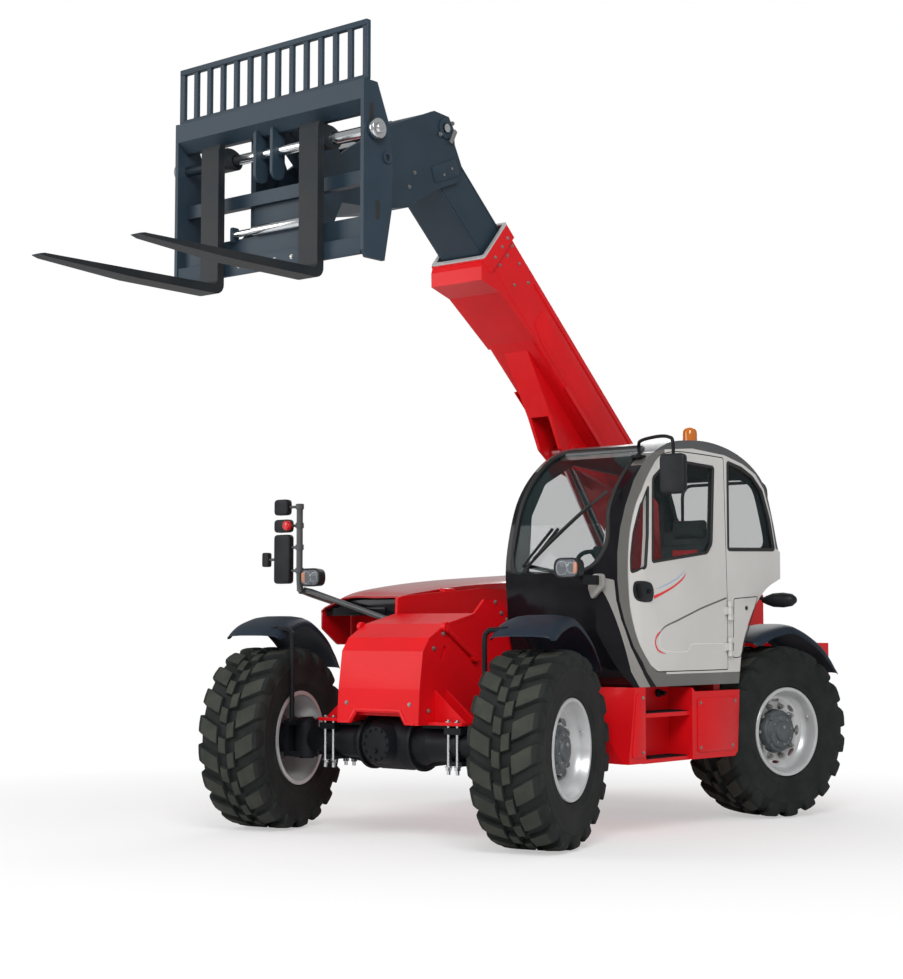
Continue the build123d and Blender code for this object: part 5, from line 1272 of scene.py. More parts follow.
    def outside_fittings(self) -> None:
        """The mirror, side hatch, rear side lamp, and the rail and bracket beside the screen."""
        mirror_x, behind = 1.515, 0.81
        arm = Shape().tube(flowing([spot(1.135, 1.01, 2.389), spot(1.135, 1.0, 2.462), spot(1.2, 0.94, 2.486),
                spot(1.4, 0.82, 2.488), spot(mirror_x - 0.03, behind, 2.478), spot(mirror_x, behind, 2.44),
                spot(mirror_x, behind, 2.25)], 5), 0.011, 12)
        arm.prism(plan_view(2.38), pad((1.135, 1.005), 0.075, 0.1, 0.02), 0, 0.018)
        arm.piece("cab_mirror_arm", BLACK_TRIM, smooth=50, replaces="cab_mirror")
        head = Shape().plate(front_view(behind), pad((mirror_x, 2.25), 0.178, 0.248, 0.035, 5), -0.025, 0.022,
                edge=0.01)
        head.prism(front_view(behind), circle((mirror_x, 2.25), 0.03, 20), 0.015, 0.0245, 0.8)
        head.piece("cab_mirror_head", BLACK_PLASTIC, smooth=50, replaces="cab_mirror")
        Shape().plate(front_view(behind), pad((mirror_x, 2.25), 0.15, 0.22, 0.025, 5), -0.0252,
                -0.0242).piece("cab_mirror_glass", MIRROR)
        hatch = Shape()
        line = mm("2015 1106, 2110 1110, 2345 1520, 2031 1502")
        hatch.tube(self.on_side(line, 0.02, -0.001), 0.0035, 6, closed=True)
        hatch.prism(side_view(CAB_SIDE_X), circle((2.19, 1.44), 0.014, 20), -0.002, 0.006)
        hatch.piece("cab_side_hatch", SEAL, smooth=50)
        pod = Shape().lathe(facing(spot(1.245, 2.5, 1.497), (1, 0, 0)),
                mm("-100 0, -96 16, -60 32, -10 48, 70 52, 130 43, 160 22, 168 0"), 28)
        pod.tube([spot(1.08, 2.44, 1.54), spot(1.17, 2.5, 1.5)], 0.014, 12)
        pod.piece("rear_side_lamp", BLACK_PLASTIC, smooth=50)
        rail = Shape().tube(flowing([spot(self.side_x(y) - 0.03, y - 0.01, z)
                for y, z in mm("700 1750, 735 2020, 830 2190")], 5), 0.01, 10)
        bracket = front_view(0.62)
        rail.plate(bracket, rounded(mm("1030 1480, 1120 1560, 1115 1640, 1040 1640, 1000 1560"), 0.02), -0.03, 0.0,
                edge=0.003)
        rail.piece("pillar_bracket", FLANGE_GREY, smooth=50)

    def inside(self) -> None:
        """What shows through the glass: seat, console, levers, steering wheel and screen."""
        dress("dashboard", BLACK_PLASTIC, 0.015)
        x, y0 = self.middle_x, FRONT_AXLE_Y
        wheel = Shape()
        hub = Vector((x, y0 + 1.13, 1.69))
        view = facing(hub, (0, math.sin(math.radians(35)), math.cos(math.radians(35))))
        wheel.tube([view @ Vector((*polar(0.185, t), 0)) for t in turns(40)], 0.0145, 12, closed=True)
        wheel.prism(view, circle((0, 0), 0.048, 24), -0.014, 0.012, 0.85)
        for spoke in turns(3):
            turn = spoke + math.pi / 2
            wheel.tube([view @ Vector((*polar(r, turn), h)) for r, h in mm("30 0, 100 -6, 182 0")], 0.012, 8,
                    flat=0.5)
        wheel.lathe(view, mm("-178 0, -178 32, -50 30, -20 24, -12 0"), 24)
        wheel.piece("steering_wheel_rim", BLACK_PLASTIC, smooth=50, replaces="steering_wheel")
        console = Shape().plate(side_view(x - 0.3),
                rounded(mm("1420 1300, 1900 1300, 1900 1560, 1700 1620, 1430 1560"), 0.05), -0.06, 0.06, edge=0.012)
        console.plate(side_view(x - 0.3), rounded(mm("1400 1300, 1560 1300, 1560 985, 1420 985"), 0.03), -0.05, 0.05,
                edge=0.01)
        console.tube([(x - 0.3, y0 + 1.5, 1.56), (x - 0.3, y0 + 1.48, 1.7)], 0.01, 10)
        console.lathe(facing((x - 0.3, y0 + 1.478, 1.715), (0, -0.15, 1)),
                mm("-50 0, -50 14, -30 20, 0 22, 30 26, 45 18, 50 0"), 20)
        console.plate(front_view(0.93), pad((x + 0.16, 1.76), 0.2, 0.13, 0.02), -0.02, 0.0, edge=0.004)
        console.tube([(x + 0.16, y0 + 0.935, 1.7), (x + 0.14, y0 + 0.96, 1.61)], 0.01, 8)
        console.piece("cab_console", BLACK_PLASTIC, smooth=50)
        Seat(x).build()


@dataclass
class Seat:
    """The sprung driver's seat with its cushions."""

    x: float
    travel: float = 0.009
    frames: int = 20

    def build(self) -> None:
        """Makes the base, the three cushions and the back's insert."""
        base = Shape().plate(side_view(self.x), rounded(mm("1600 982, 1980 982, 1960 1060, 1620 1060"), 0.02), -0.19,
                0.19, edge=0.006)
        for k in range(6):
            inset = 0.012 * (k % 2)
            base.prism(plan_view(0), pad((self.x, 1.79), 0.36 - 2 * inset, 0.34 - 2 * inset, 0.05), 1.06 + 0.045 * k,
                    1.105 + 0.045 * k)
        base.plate(side_view(self.x), rounded(mm("1540 1330, 2010 1330, 2010 1400, 1540 1395"), 0.02), -0.225, 0.225,
                edge=0.008)
        base.plate(side_view(self.x), rounded(mm("2120 1420, 2185 1440, 2205 1980, 2150 1980"), 0.02), -0.205, 0.205,
                edge=0.01)
        base.piece("seat_base", BLACK_PLASTIC, smooth=50, replaces="operator_seat")
        cushion = mm("1520 1400, 1970 1402, 1970 1488, 1540 1508, 1508 1460")
        back = mm("2000 1500, 2112 1470, 2180 1800, 2196 1900, 2110 1900, 2050 1660")
        head = mm("2108 1915, 2196 1915, 2205 2050, 2120 2060")
        self.cushion("seat_cushion", cushion, 0.222, SEAT_CLOTH)
        self.cushion("seat_back", back, 0.222, SEAT_CLOTH)
        self.cushion("seat_headrest", head, 0.13, SEAT_CLOTH)
        self.cushion("seat_back_insert", mm("2006 1560, 2060 1560, 2126 1860, 2088 1860"), 0.12, SEAT_RED)

    def cushion(self, name: str, line: Line, half: float, finish: Finish) -> None:
        """One padded cushion, swelled by a short cloth simulation.

        Args:
            name: The piece's name.
            line: Its side outline.
            half: Half its width.
            finish: Its cloth.
        """
        shape = Shape().prism(side_view(self.x), shrunk(rounded(line, 0.035, 4), 0.008), -half + 0.01, half - 0.01)
        thing = shape.piece(name, finish, smooth=180, replaces="operator_seat")
        remesh = thing.modifiers.new("even", "REMESH")
        remesh.mode = "VOXEL"
        remesh.voxel_size = 0.006
        apply_modifiers(thing)
        self.swell(thing)
        thing.data.shade_smooth()
        smooth = thing.modifiers.new("smooth", "SUBSURF")
        smooth.levels = smooth.render_levels = 1

    def swell(self, thing: bpy.types.Object) -> None:
        """Lets air pressure crown the cushion, with each point's travel capped."""
        rest = [v.co.copy() for v in thing.data.vertices]
        cloth = thing.modifiers.new("pressure", "CLOTH")
        cloth.settings.use_pressure = True
        cloth.settings.uniform_pressure_force = 4.0
        cloth.settings.effector_weights.gravity = 0.0
        scene = bpy.context.scene
        for number in range(self.frames):
            scene.frame_set(number + 1)
        solved = solved_mesh(thing)
        thing.modifiers.remove(cloth)
        for vertex, start, end in zip(thing.data.vertices, rest, solved.vertices):
            move = end.co - start
            vertex.co = start + move * min(1.0, self.travel / max(move.length, 1e-9))
        bpy.data.meshes.remove(solved)
        scene.frame_set(1)


# ---------------------------------------------------------------- bodywork
@dataclass
class Bodywork:
    """The red frame's dressed nose, the hood, side panels, tank and tail weight."""

    frame_half: float = 0.335
    hood_inner: float = 0.4
    hood_outer: float = 1.13
    bay_top: float = 1.4
    # Each section: behind the axle, then the heights of its inner edge, ridge, shoulder and side.
    hood_sections: Line = mm("465 1512 1522 1475 1425, 640 1542 1572 1520 1460, "
            "1250 1605 1640 1590 1490, 2180 1650 1700 1630 1520")

    def build(self) -> None:
        """Makes every piece of the bodywork."""
        for node, finish, bevel in (("chassis_frame", RED, 0.003), ("side_tank", RED, 0.008),
                ("engine_bay_panels", RED, 0.004), ("rear_counterweight", RED, 0.02), ("engine_block", IRON, 0.01),
                ("frame_pins", BRIGHT, 0.003)):
            dress(node, finish, bevel)
        self.nose()
        self.hood()
        self.bay()
        self.tank()
        self.tail()

    def nose(self) -> None:
        """The axles' pads and gussets, and the nose's lips, trim, diagonal stays and bolts."""
        pads = Shape()
        for side in (-1, 1):
            for behind in (0.0, WHEELBASE):
                pads.plate(plan_view(0.7145), rounded([(side * 0.336, behind - 0.145), (side * 0.6, behind - 0.125),
                        (side * 0.6, behind + 0.125), (side * 0.336, behind + 0.145)], 0.02), 0, 0.02, edge=0.003)
                for shift in (-0.055, 0.055):
                    pads.prism(front_view(behind + shift), [(side * 0.3355, 0.733), (side * 0.58, 0.733),
                            (side * 0.3355, 0.925)], -0.006, 0.006)
        for side in (-1, 1):
            x = side * 0.325
            lip = mm("-216.5 714, -204.5 930, -173.5 1162, -111.5 1246, 46 1331.5, 330 1397.5, 334 1380, 50 1313, "
                    "-102 1231, -156 1150, -187 928, -199 714")
            pads.prism(side_view(x), lip, -0.012, 0.012)
        pads.piece("frame_pads", RED, bevel=0.003)
        trim = Shape()
        face = sloped((-0.217, 0.714), (-0.205, 0.93))
        notch = mm("-232 0, -182 78, 182 78, 232 0")
        trim.plate(face, [*notch, (0.3, 0.0), (0.3, 0.014), (0.242, 0.014), (0.19, 0.092), (-0.19, 0.092),
                (-0.242, 0.014), (-0.3, 0.014), (-0.3, 0.0)], -0.002, 0.005, edge=0.001)
        for side in (-1, 1):
            stay = [spot(side * 0.352, 0.024, 1.312), spot(side * 0.352, 0.309, 1.125)]
            trim.tube(stay, 0.018, 14)
            for end in stay:
                trim.prism(facing(end, (1, 0, 0)), circle((0, 0), 0.03, 20), -0.014, 0.014)
        trim.piece("nose_trim", RED, bevel=0.001, segments=1)
        bolts = Shape()
        for side in (-1, 1):
            view = flank(self.frame_half, side)
            bolts.bolts(view, mm("-70 1180, 20 1270, 600 1400, 660 1360, 540 1470, 100 800, -120 800"), 0.01, 0.011)
        bolts.bolts(face, [(x, 0.126) for x in (-0.26, 0.26)], 0.009, 0.01)
        bolts.fasteners("nose_bolts")

    def hood_row(self, section: Sequence[float], inset: float) -> list[Vector]:
        """One cross row of the hood, from its inner edge over the ridge down to its hem."""
        behind, inner, ridge, shoulder, side = section
        out = -self.hood_outer + inset
        points = [(-self.hood_inner - inset * 0.4, inner - 0.06), (-self.hood_inner - inset * 0.5, inner - inset),
                (-0.48, inner + 0.45 * (ridge - inner) - inset), (-0.64, ridge - 0.006 - inset),
                (-0.8, ridge - inset), (-0.93, 0.5 * (ridge + shoulder) + 0.01 - inset),
                (-self.hood_outer + 0.11, shoulder - inset),
                (-self.hood_outer + 0.035, 0.5 * (shoulder + side) - 0.002 - inset * 0.7), (out, side - inset / 2),
                (out, 0.5 * (side + self.bay_top)), (out, self.bay_top + 0.005)]
        line = flowing(points[1:8], 3) + [Vector(p) for p in points[8:]]
        return [spot(x, behind, z) for x, z in [Vector(points[0]), *line]]

    def hood(self) -> None:
        """The glossy hood with its hinges, skirt and latches, its closed rear end and dark front panel."""
        stations = flowing(self.hood_sections, 6)
        skin = Shape()
        outer = [self.hood_row(s, 0.0) for s in stations]
        inner = [self.hood_row(s, 0.012) for s in stations]
        m, n = len(outer[0]), len(outer)
        skin.take([p for row in outer for p in row] + [p for row in inner for p in row], [])
        size = m * n
        faces: list[Face] = []
        for r in range(n - 1):
            for c in range(m - 1):
                a = (r * m + c, r * m + c + 1, (r + 1) * m + c + 1, (r + 1) * m + c)
                faces += [a, tuple(size + i for i in reversed(a))]
            for c in (0, m - 1):
                faces.append((r * m + c, (r + 1) * m + c, size + (r + 1) * m + c, size + r * m + c))
        for r in (0, n - 1):
            faces += [(r * m + c, r * m + c + 1, size + r * m + c + 1, size + r * m + c) for c in range(m - 1)]
        skin.faces.extend(faces)
        for behind in (0.9, 1.3):
            skin.prism(front_view(behind), circle((-0.367, 1.56), 0.0142, 20), -0.025, 0.025)
            skin.prism(front_view(behind), mm("-367 1550, -367 1570, -405 1570, -405 1550"), -0.025, 0.025)
        skirt = mm("466 1300, 620 1190.5, 750 1190.5, 750 1412, 466 1412")
        skin.plate(side_view(-self.hood_outer), rounded(skirt, 0.012), 0.0, 0.014, edge=0.002)
        rear = [(p.x, p.z) for p in self.hood_row((2.17, *self.hood_sections[-1][1:]), 0.01)]
        skin.plate(front_view(2.17), [*rear, (rear[0][0], rear[-1][1])], -0.008, 0.0, edge=0.001)
        skin.piece("hood_skin", DEEP_RED, "hood", bevel=0.004, smooth=45, replaces="engine_hood")
        latch = Shape()
        for behind in (0.7, 1.95):
            latch.plate(side_view(-self.hood_outer), pad((behind, 1.418), 0.07, 0.026, 0.008), -0.012, 0.002,
                    edge=0.002)
        latch.piece("hood_latches", BLACK_TRIM, "hood")
        panel = [(p.x, p.z) for p in self.hood_row((0.5, *self.hood_sections[0][1:]), 0.015)]
        panel = Shape().plate(front_view(0.5), [*panel[1:], (-1.114, 1.388), (-0.64, 1.388), (-0.425, 1.29)], -0.008,
                0.0, edge=0.002)
        panel.plate(front_view(0.492), pad((-0.8, 1.42), 0.48, 0.044, 0.012), 0.0, 0.006, edge=0.002)
        panel.piece("hood_front_panel", GLOSS_BLACK, "hood", smooth=40)

    def bay(self) -> None:
        """Louvres drawn as flat dark pads of painted shade, and bolts, on the engine bay's side, and the dark grille
        at its front on a near-black plate of painted shade.
        """
        # The louvres' openings are flat near-black pads: painted shade.
        louvres = Shape()
        for k in range(9):
            louvres.plate(flank(self.hood_outer, -1), pad((1.0 + 0.08 * k, 1.23), 0.038, 0.17, 0.016), -0.002, 0.0006,
                    edge=0.0003)
        louvres.piece("bay_louvre_shade", SEAL)
        bolts = Shape().bolts(flank(self.hood_outer, -1),
                mm("820 1350, 2120 1350, 2100 1140, 900 820, 1900 820, 1470 1350"), 0.008, 0.009)
        bolts.fasteners("bay_bolts")
        # A near-black plate behind the grille's bars paints the shade at the back of the hood's front recess.
        mesh = Shape().plate(front_view(0.775), mm("-1085 1000, -420 1000, -420 1385, -1085 1385"), -0.004, 0.0,
                edge=0.001)
        for k in range(11):
            mesh.prism(front_view(0.775), rectangle((-0.75, 1.03 + 0.033 * k), 0.64, 0.007), 0.0, 0.012)
        mesh.piece("bay_front_grille_and_shade", SEAL)

    def tank(self) -> None:
        """The step's treads, a valve in its recess, cover panels and bolts."""
        x = CAB_SIDE_X
        fittings = Shape()
        for height in (0.483, 0.769):
            fittings.plate(plan_view(height), pad((x - 0.102, 1.23), 0.15, 0.52, 0.01), 0.0, 0.005, edge=0.001)
            for k in range(12):
                fittings.prism(plan_view(height + 0.005), rectangle((x - 0.102, 0.999 + 0.042 * k), 0.13, 0.01), 0,
                        0.004)
        fittings.lathe(facing(spot(1.0205, 1.366, 0.885), (1, 0, 0)),
                mm("0 0, 0 26, 20 26, 24 16, 60 16, 64 10, 64 0"), 24)
        fittings.piece("tank_fittings", BLACK_TRIM, bevel=0.001, segments=1)
        panel = Shape()
        for line in (mm("1560 500, 2005 496, 2040 530, 2062 850, 1560 850"),
                mm("802 500, 945 500, 945 900, 860 900")):
            panel.plate(side_view(x), rounded(line, 0.03), -0.001, 0.007, edge=0.003)
        panel.piece("tank_panels", RED, smooth=50)
        bolts = Shape().bolts(side_view(x + 0.007), mm("1590 530, 1980 530, 2020 820, 1590 820, 920 530, 920 870"),
                0.008, 0.008)
        bolts.fasteners("tank_bolts")

    def tail(self) -> None:
        """Bolts on the tail weight, and the rear lamps' bodies and lenses."""
        lamps = Shape()
        lens = Shape()
        for side in (-1, 1):
            lamps.plate(front_view(3.99), pad((side * 0.61, 1.104), 0.148, 0.078, 0.012), 0.0035, 0.0495, edge=0.004)
            for shift, wide in ((0.036, 0.06), (-0.03, 0.062)):
                lens.plate(front_view(3.99), pad((side * (0.61 + shift), 1.104), wide, 0.062, 0.01), 0.0, 0.01,
                        edge=0.002)
        lamps.piece("rear_lamp_bodies", BLACK_PLASTIC, replaces="rear_lamps")
        lens.piece("rear_lamp_lenses", RED_LENS, smooth=50)
        bolts = Shape()
        for side in (-1, 1):
            bolts.bolts(facing(spot(side * 0.5, 3.94, 0.95), (0, 1, 0)), [(0, -0.12), (0, 0.12)], 0.018, 0.016)
        bolts.piece("tail_bolts", ZINC, bevel=0.001, segments=1)


# ---------------------------------------------------------------- mirrors and lamps
@dataclass
class Signals:
    """The right-hand mirror mast, both headlamps and the beacon."""

    mast_x: float = -1.256

    def build(self) -> None:
        """Makes the mast, the lamps and the beacon."""
        self.mast()
        self.headlamp("headlamp_left", spot(1.03, 0.45, 1.67), 1)
        self.headlamp("headlamp_right", spot(-1.1387, 0.45, 1.65), -1)
        bracket = Shape().plate(front_view(0.673), pad((1.075, 1.6), 0.03, 0.06, 0.008), 0.0, 0.224, edge=0.004)
        bracket.prism(side_view(0), circle((0.43, 1.65), 0.012, 16), -1.238, -1.2)
        bracket.piece("headlamp_bracket", BLACK_TRIM, replaces="headlamps")
        self.beacon()

    def mast(self) -> None:
        """The bent tube with its tall mirror, two small ones and a red lamp."""
        x, y = self.mast_x, FRONT_AXLE_Y
        tube = Shape().tube(flowing([(-1.1303, y + 1.24, 1.37), (x + 0.03, y + 1.24, 1.37), (x, y + 1.21, 1.375),
                (x, y + 0.8, 1.47), (x, y + 0.43, 1.555), (x, y + 0.385, 1.59), (x, y + 0.38, 1.9),
                (x, y + 0.38, 2.16)], 5), 0.022, 16)
        for height in (1.7, 1.86, 2.01, 2.14):
            tube.tube([(x, y + 0.38, height), (x - 0.11, y + 0.375, height)], 0.01, 10)
            tube.prism(plan_view(height - 0.018), circle((x, 0.38), 0.029, 20), 0, 0.036)
        tube.tube([(x - 0.17, y + 0.375, 1.78), (-1.56, y + 0.38, 1.78)], 0.01, 10)
        tube.lathe(facing((-1.1303, y + 1.24, 1.37), (-1, 0, 0)), mm("0 0, 0 45, 12 45, 16 30, 16 0"), 24)
        tube.piece("mast_tube", ROOF_GREY, smooth=50, replaces="mirror_mast")
        brace = Shape().tube([(-0.336, y + 0.402, 1.327), (-1.18, y + 0.42, 1.555), (x, y + 0.426, 1.568)], 0.019, 14)
        brace.lathe(facing((-0.3352, y + 0.402, 1.327), (-1, 0, 0)), mm("0 0, 0 42, 10 42, 14 26, 14 0"), 24)
        brace.piece("mast_brace", ROOF_GREY, smooth=50)
        heads = Shape()
        glasses = Shape()
        for height, tall, wide in mm("1780 340 150, 2010 90 150, 2140 110 130"):
            middle = (-1.605 + 0.2 + wide / 2 - 0.07, height)
            heads.plate(front_view(0.372), pad(middle, wide, tall, 0.03, 5), -0.025, 0.026, edge=0.009)
            glasses.plate(front_view(0.372), pad(middle, wide - 0.024, tall - 0.024, 0.022, 5), -0.0262, -0.0248)
        heads.plate(front_view(0.38), pad((-1.575, 1.78), 0.06, 0.1, 0.015), -0.02, 0.02, edge=0.006)
        heads.piece("mast_mirror_heads", BLACK_PLASTIC, smooth=50, replaces="mirror_mast")
        glasses.piece("mast_mirror_glasses", MIRROR)
        lamp = Shape().lathe(facing((-1.33, y + 0.33, 2.01), (0, -1, 0)), mm("-10 0, -10 34, 12 34, 20 26, 24 0"), 28)
        lamp.piece("mast_lamp", RED_LENS, smooth=50)

    def headlamp(self, name: str, centre: Vector, side: int) -> None:
        """One oval lamp: bowl, bright reflectors, clear lens and amber indicator.

        Args:
            name: The lamp's name.
            centre: The back of its bowl.
            side: The side of the machine it faces.
        """
        view = facing(centre, (0, -1, 0))
        oval = pad((0, 0), 0.19, 0.125, 0.075, 8)
        body = Shape().prism(view, [(x * 0.62, y * 0.62) for x, y in oval], 0.0, 0.03, 1.45)
        body.prism(view, [(x * 0.94, y * 0.94) for x, y in oval], 0.028, 0.085, 1.06)
        body.plate(view, oval, 0.078, 0.094, holes=([(x * 0.88, y * 0.84) for x, y in oval],), edge=0.003)
        body.piece(f"{name}_bowl", BLACK_PLASTIC, smooth=50, replaces="headlamps")
        inner = Shape()
        for x, radius in ((-0.038, 0.04), (0.032, 0.03)):
            inner.lathe(view @ Matrix.Translation((x, 0, 0.058)),
                    [(0.0, 0.0), (0.0, 0.012), (0.012, radius * 0.8), (0.03, radius), (0.03, radius + 0.003),
                    (-0.002, radius * 0.7)], 32)
            inner.lathe(view @ Matrix.Translation((x, 0, 0.066)), mm("0 0, 0 10, 12 10, 16 6, 16 0"), 20)
        inner.piece(f"{name}_reflectors", REFLECTOR, smooth=50)
        amber = Shape().plate(view, rounded([(0.05 * side, -0.04), (0.078 * side, -0.03), (0.082 * side, 0.03),
                (0.05 * side, 0.04)], 0.012), 0.08, 0.092, edge=0.002)
        amber.piece(f"{name}_indicator", AMBER, smooth=50)
        lens = Shape()
        rows = []
        ring = [(x * 0.885, y * 0.85) for x, y in oval]
        for share in (1.0, 0.8, 0.55, 0.3, 0.05):
            rows.append([view @ Vector((x * share, y * share, 0.09 + 0.014 * (1 - share ** 2)))
                    for x, y in [*ring, ring[0]]])
        lens.sheet(rows)
        lens.piece(f"{name}_lens", LAMP_GLASS, smooth=60)

    def beacon(self) -> None:
        """The amber beacon on its black foot."""
        low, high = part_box("beacon")
        x, y, z = (low[0] + high[0]) / 2, (low[1] + high[1]) / 2, low[2]
        at = Matrix.Translation((x, y, z))
        Shape().lathe(at, mm("0 0, 0 60, 12 60, 20 52, 30 52, 34 46, 34 0"), 36).piece("beacon_foot", BLACK_PLASTIC,
                smooth=50, replaces="beacon")
        dome = [(0.03, 0.0), (0.03, 0.048)]
        dome += [(0.036 + 0.012 * k, 0.049 - 0.0015 * (k % 2)) for k in range(6)]
        dome += mm("112 47, 126 40, 136 26, 139.5 0")
        Shape().lathe(at, dome, 36).piece("beacon_dome", AMBER, smooth=60, replaces="beacon")


# ---------------------------------------------------------------- boom, head and carriage
@dataclass
class Boom:
    """The telescoping boom: collar, wear-pad bolts, seams and lugs, the gooseneck head and the cylinders."""

    bottom: float = -0.199
    half: float = 0.21
    mouth: float = 3.516

    def build(self) -> None:
        """Makes every piece of the boom."""
        dress("outer_boom", RED, 0.004)
        dress("inner_boom", BLUE_GREY, 0.006)
        dress("boom_head", BLUE_GREY, 0.004)
        dress("head_pins", BRIGHT, 0.003)
        dress("wear_pads", NYLON)
        self.collar()
        self.outer_details()
        self.inner_details()
        self.head_details()
        self.cylinders()

    def collar(self) -> None:
        """The mouth's bright edge, its black lip and the bolts that hold the pads."""
        view = boom_cross(self.mouth)
        rim = Shape().plate(view, rounded(mm("-230 -224, 230 -224, 230 151, -230 151"), 0.028), 0.0, 0.009,
                holes=(rounded(mm("-200 -190, 200 -190, 200 132, -200 132"), 0.02),), edge=0.002)
        rim.piece("boom_mouth_rim", SILVER, "boom", slot="bright_steel", smooth=40)
        lip = Shape().plate(view, rounded(mm("-204 -194, 204 -194, 204 136, -204 136"), 0.02), -0.012, -0.001,
                holes=(rounded(mm("-176 -182, 176 -182, 176 124, -176 124"), 0.02),), edge=0.002)
        lip.piece("boom_mouth_wiper", SEAL, "boom", smooth=40)
        bolts = Shape()
        for side in (-1, 1):
            view = boom_flank(0.23, side)
            bolts.bolts(view, mm("3450 70, 3450 -20, 3450 -130"), 0.008, 0.008)
            view = boom_flank(self.half, side)
            bolts.bolts(view, mm("3370 90, 3360 0, 3370 -110, 3240 60, 3180 -90, 3090 40"), 0.008, 0.008)
        bolts.fasteners("boom_pad_bolts", "boom")

    def outer_details(self) -> None:
        """Edge strips, side plates, the lifting eye and the rings on the lift cylinder's lug."""
        seams = Shape()
        for side in (-1, 1):
            view = boom_flank(self.half, side)
            seams.plate(view, mm("100 98, 3020 98, 3040 82, 3020 76, 100 76"), 0.0, 0.006, edge=0.0015)
            seams.plate(view, rounded(mm("50 -165, 2700 -165, 2860 -120, 2860 40, 2740 60, 50 60"), 0.03), 0.0, 0.003,
                    edge=0.001)
            seams.plate(view, [(1.35, self.bottom - 0.002), (2.35, self.bottom - 0.002), (2.33, self.bottom + 0.03),
                    (1.37, self.bottom + 0.03)], 0.0, 0.01, edge=0.002)
        eye = mm("2440 139, 2450 172, 2480 190, 2510 172, 2520 139")
        seams.plate(boom_view(0.12), eye, -0.008, 0.008, holes=(circle((2.48, 0.163), 0.012, 20),), edge=0.002)
        seams.piece("boom_seams", RED, "boom", smooth=40)
        ribs = Shape()
        for side in (-1, 1):
            ribs.lathe(boom_view(0) @ Matrix.Translation((1.85, -0.33, side * 0.101)),
                    [(-0.001, 0.036), (-0.001, 0.07), (0.012 * side, 0.07), (0.012 * side, 0.036)], 32)
        ribs.piece("boom_lug_ribs", RED, "boom", bevel=0.003)

    def inner_details(self) -> None:
        """The wear strips along the inner boom."""
        strips = Shape()
        for side in (-1, 1):
            for square in (0.1, -0.158):
                strips.plate(boom_flank(0.17, side), rectangle((3.85, square), 0.64, 0.014), 0.0, 0.003, edge=0.001)
        strips.piece("inner_boom_strips", BLUE_GREY, "inner_boom")

    def head_details(self) -> None:
        """The head's bosses, patch plates, pin keepers and bolts."""
        outer = 0.1983
        parts = Shape()
        keepers = Shape()
        pivot, base = (-0.83, 3.95), (0.205, 4.507)
        for side in (-1, 1):
            view = flank(outer, side)
            for place, radius in ((pivot, 0.075), (base, 0.068)):
                parts.plate(view, circle(place, radius, 40), 0.0, 0.01, holes=(circle(place, radius * 0.52, 32),),
                        edge=0.002)
            parts.plate(view, rounded(mm("100 4130, 340 4225, 300 4330, 60 4230"), 0.02), 0.0, 0.006, edge=0.002)
            keepers.plate(view, rounded(mm("220 4420, 250 4410, 300 4500, 270 4515"), 0.01), 0.016, 0.024, edge=0.002)
            keepers.bolts(flank(outer + 0.01, side), [(0.14, 4.455), (0.262, 4.55)], 0.01, 0.012)
            keepers.bolts(view, mm("185 4200, 262 4255, -100 4160, -150 4060"), 0.009, 0.01)
        parts.piece("head_bosses", BLUE_GREY, "inner_boom", smooth=40)
        keepers.piece("head_keepers", ZINC, "inner_boom", smooth=40)

    def cylinders(self) -> None:
        """Finishes for the barrels and rods, and the barrels' rings."""
        for name in ("lift", "tilt"):
            dress(f"{name}_barrel", BLACK, 0.003)
            dress(f"{name}_rod", BRIGHT, 0.002)
        for name, foot, top, length, radius in (("lift", (2.95, 0.9), (1.7458, 2.5287), 1.23, 0.08),
                ("tilt", (0.2051, 4.5072), (-0.85, 4.15), 0.64, 0.06)):
            run = Vector((0, top[0] - foot[0], top[1] - foot[1])).normalized()
            view = facing(spot(0, foot[0], foot[1]), run)
            ring = Shape()
            foot_r = radius - 0.002
            for near, far, end, proud in ((length - 0.07, length - 0.012, length - 0.004, 0.006),
                    (0.1, 0.125, 0.125, 0.004)):
                ring.lathe(view, [(near, foot_r), (near, radius + proud), (far, radius + proud), (end, foot_r)], 40)
            ring.piece(f"{name}_barrel_rings", BLACK, f"{name}_barrel", smooth=50)


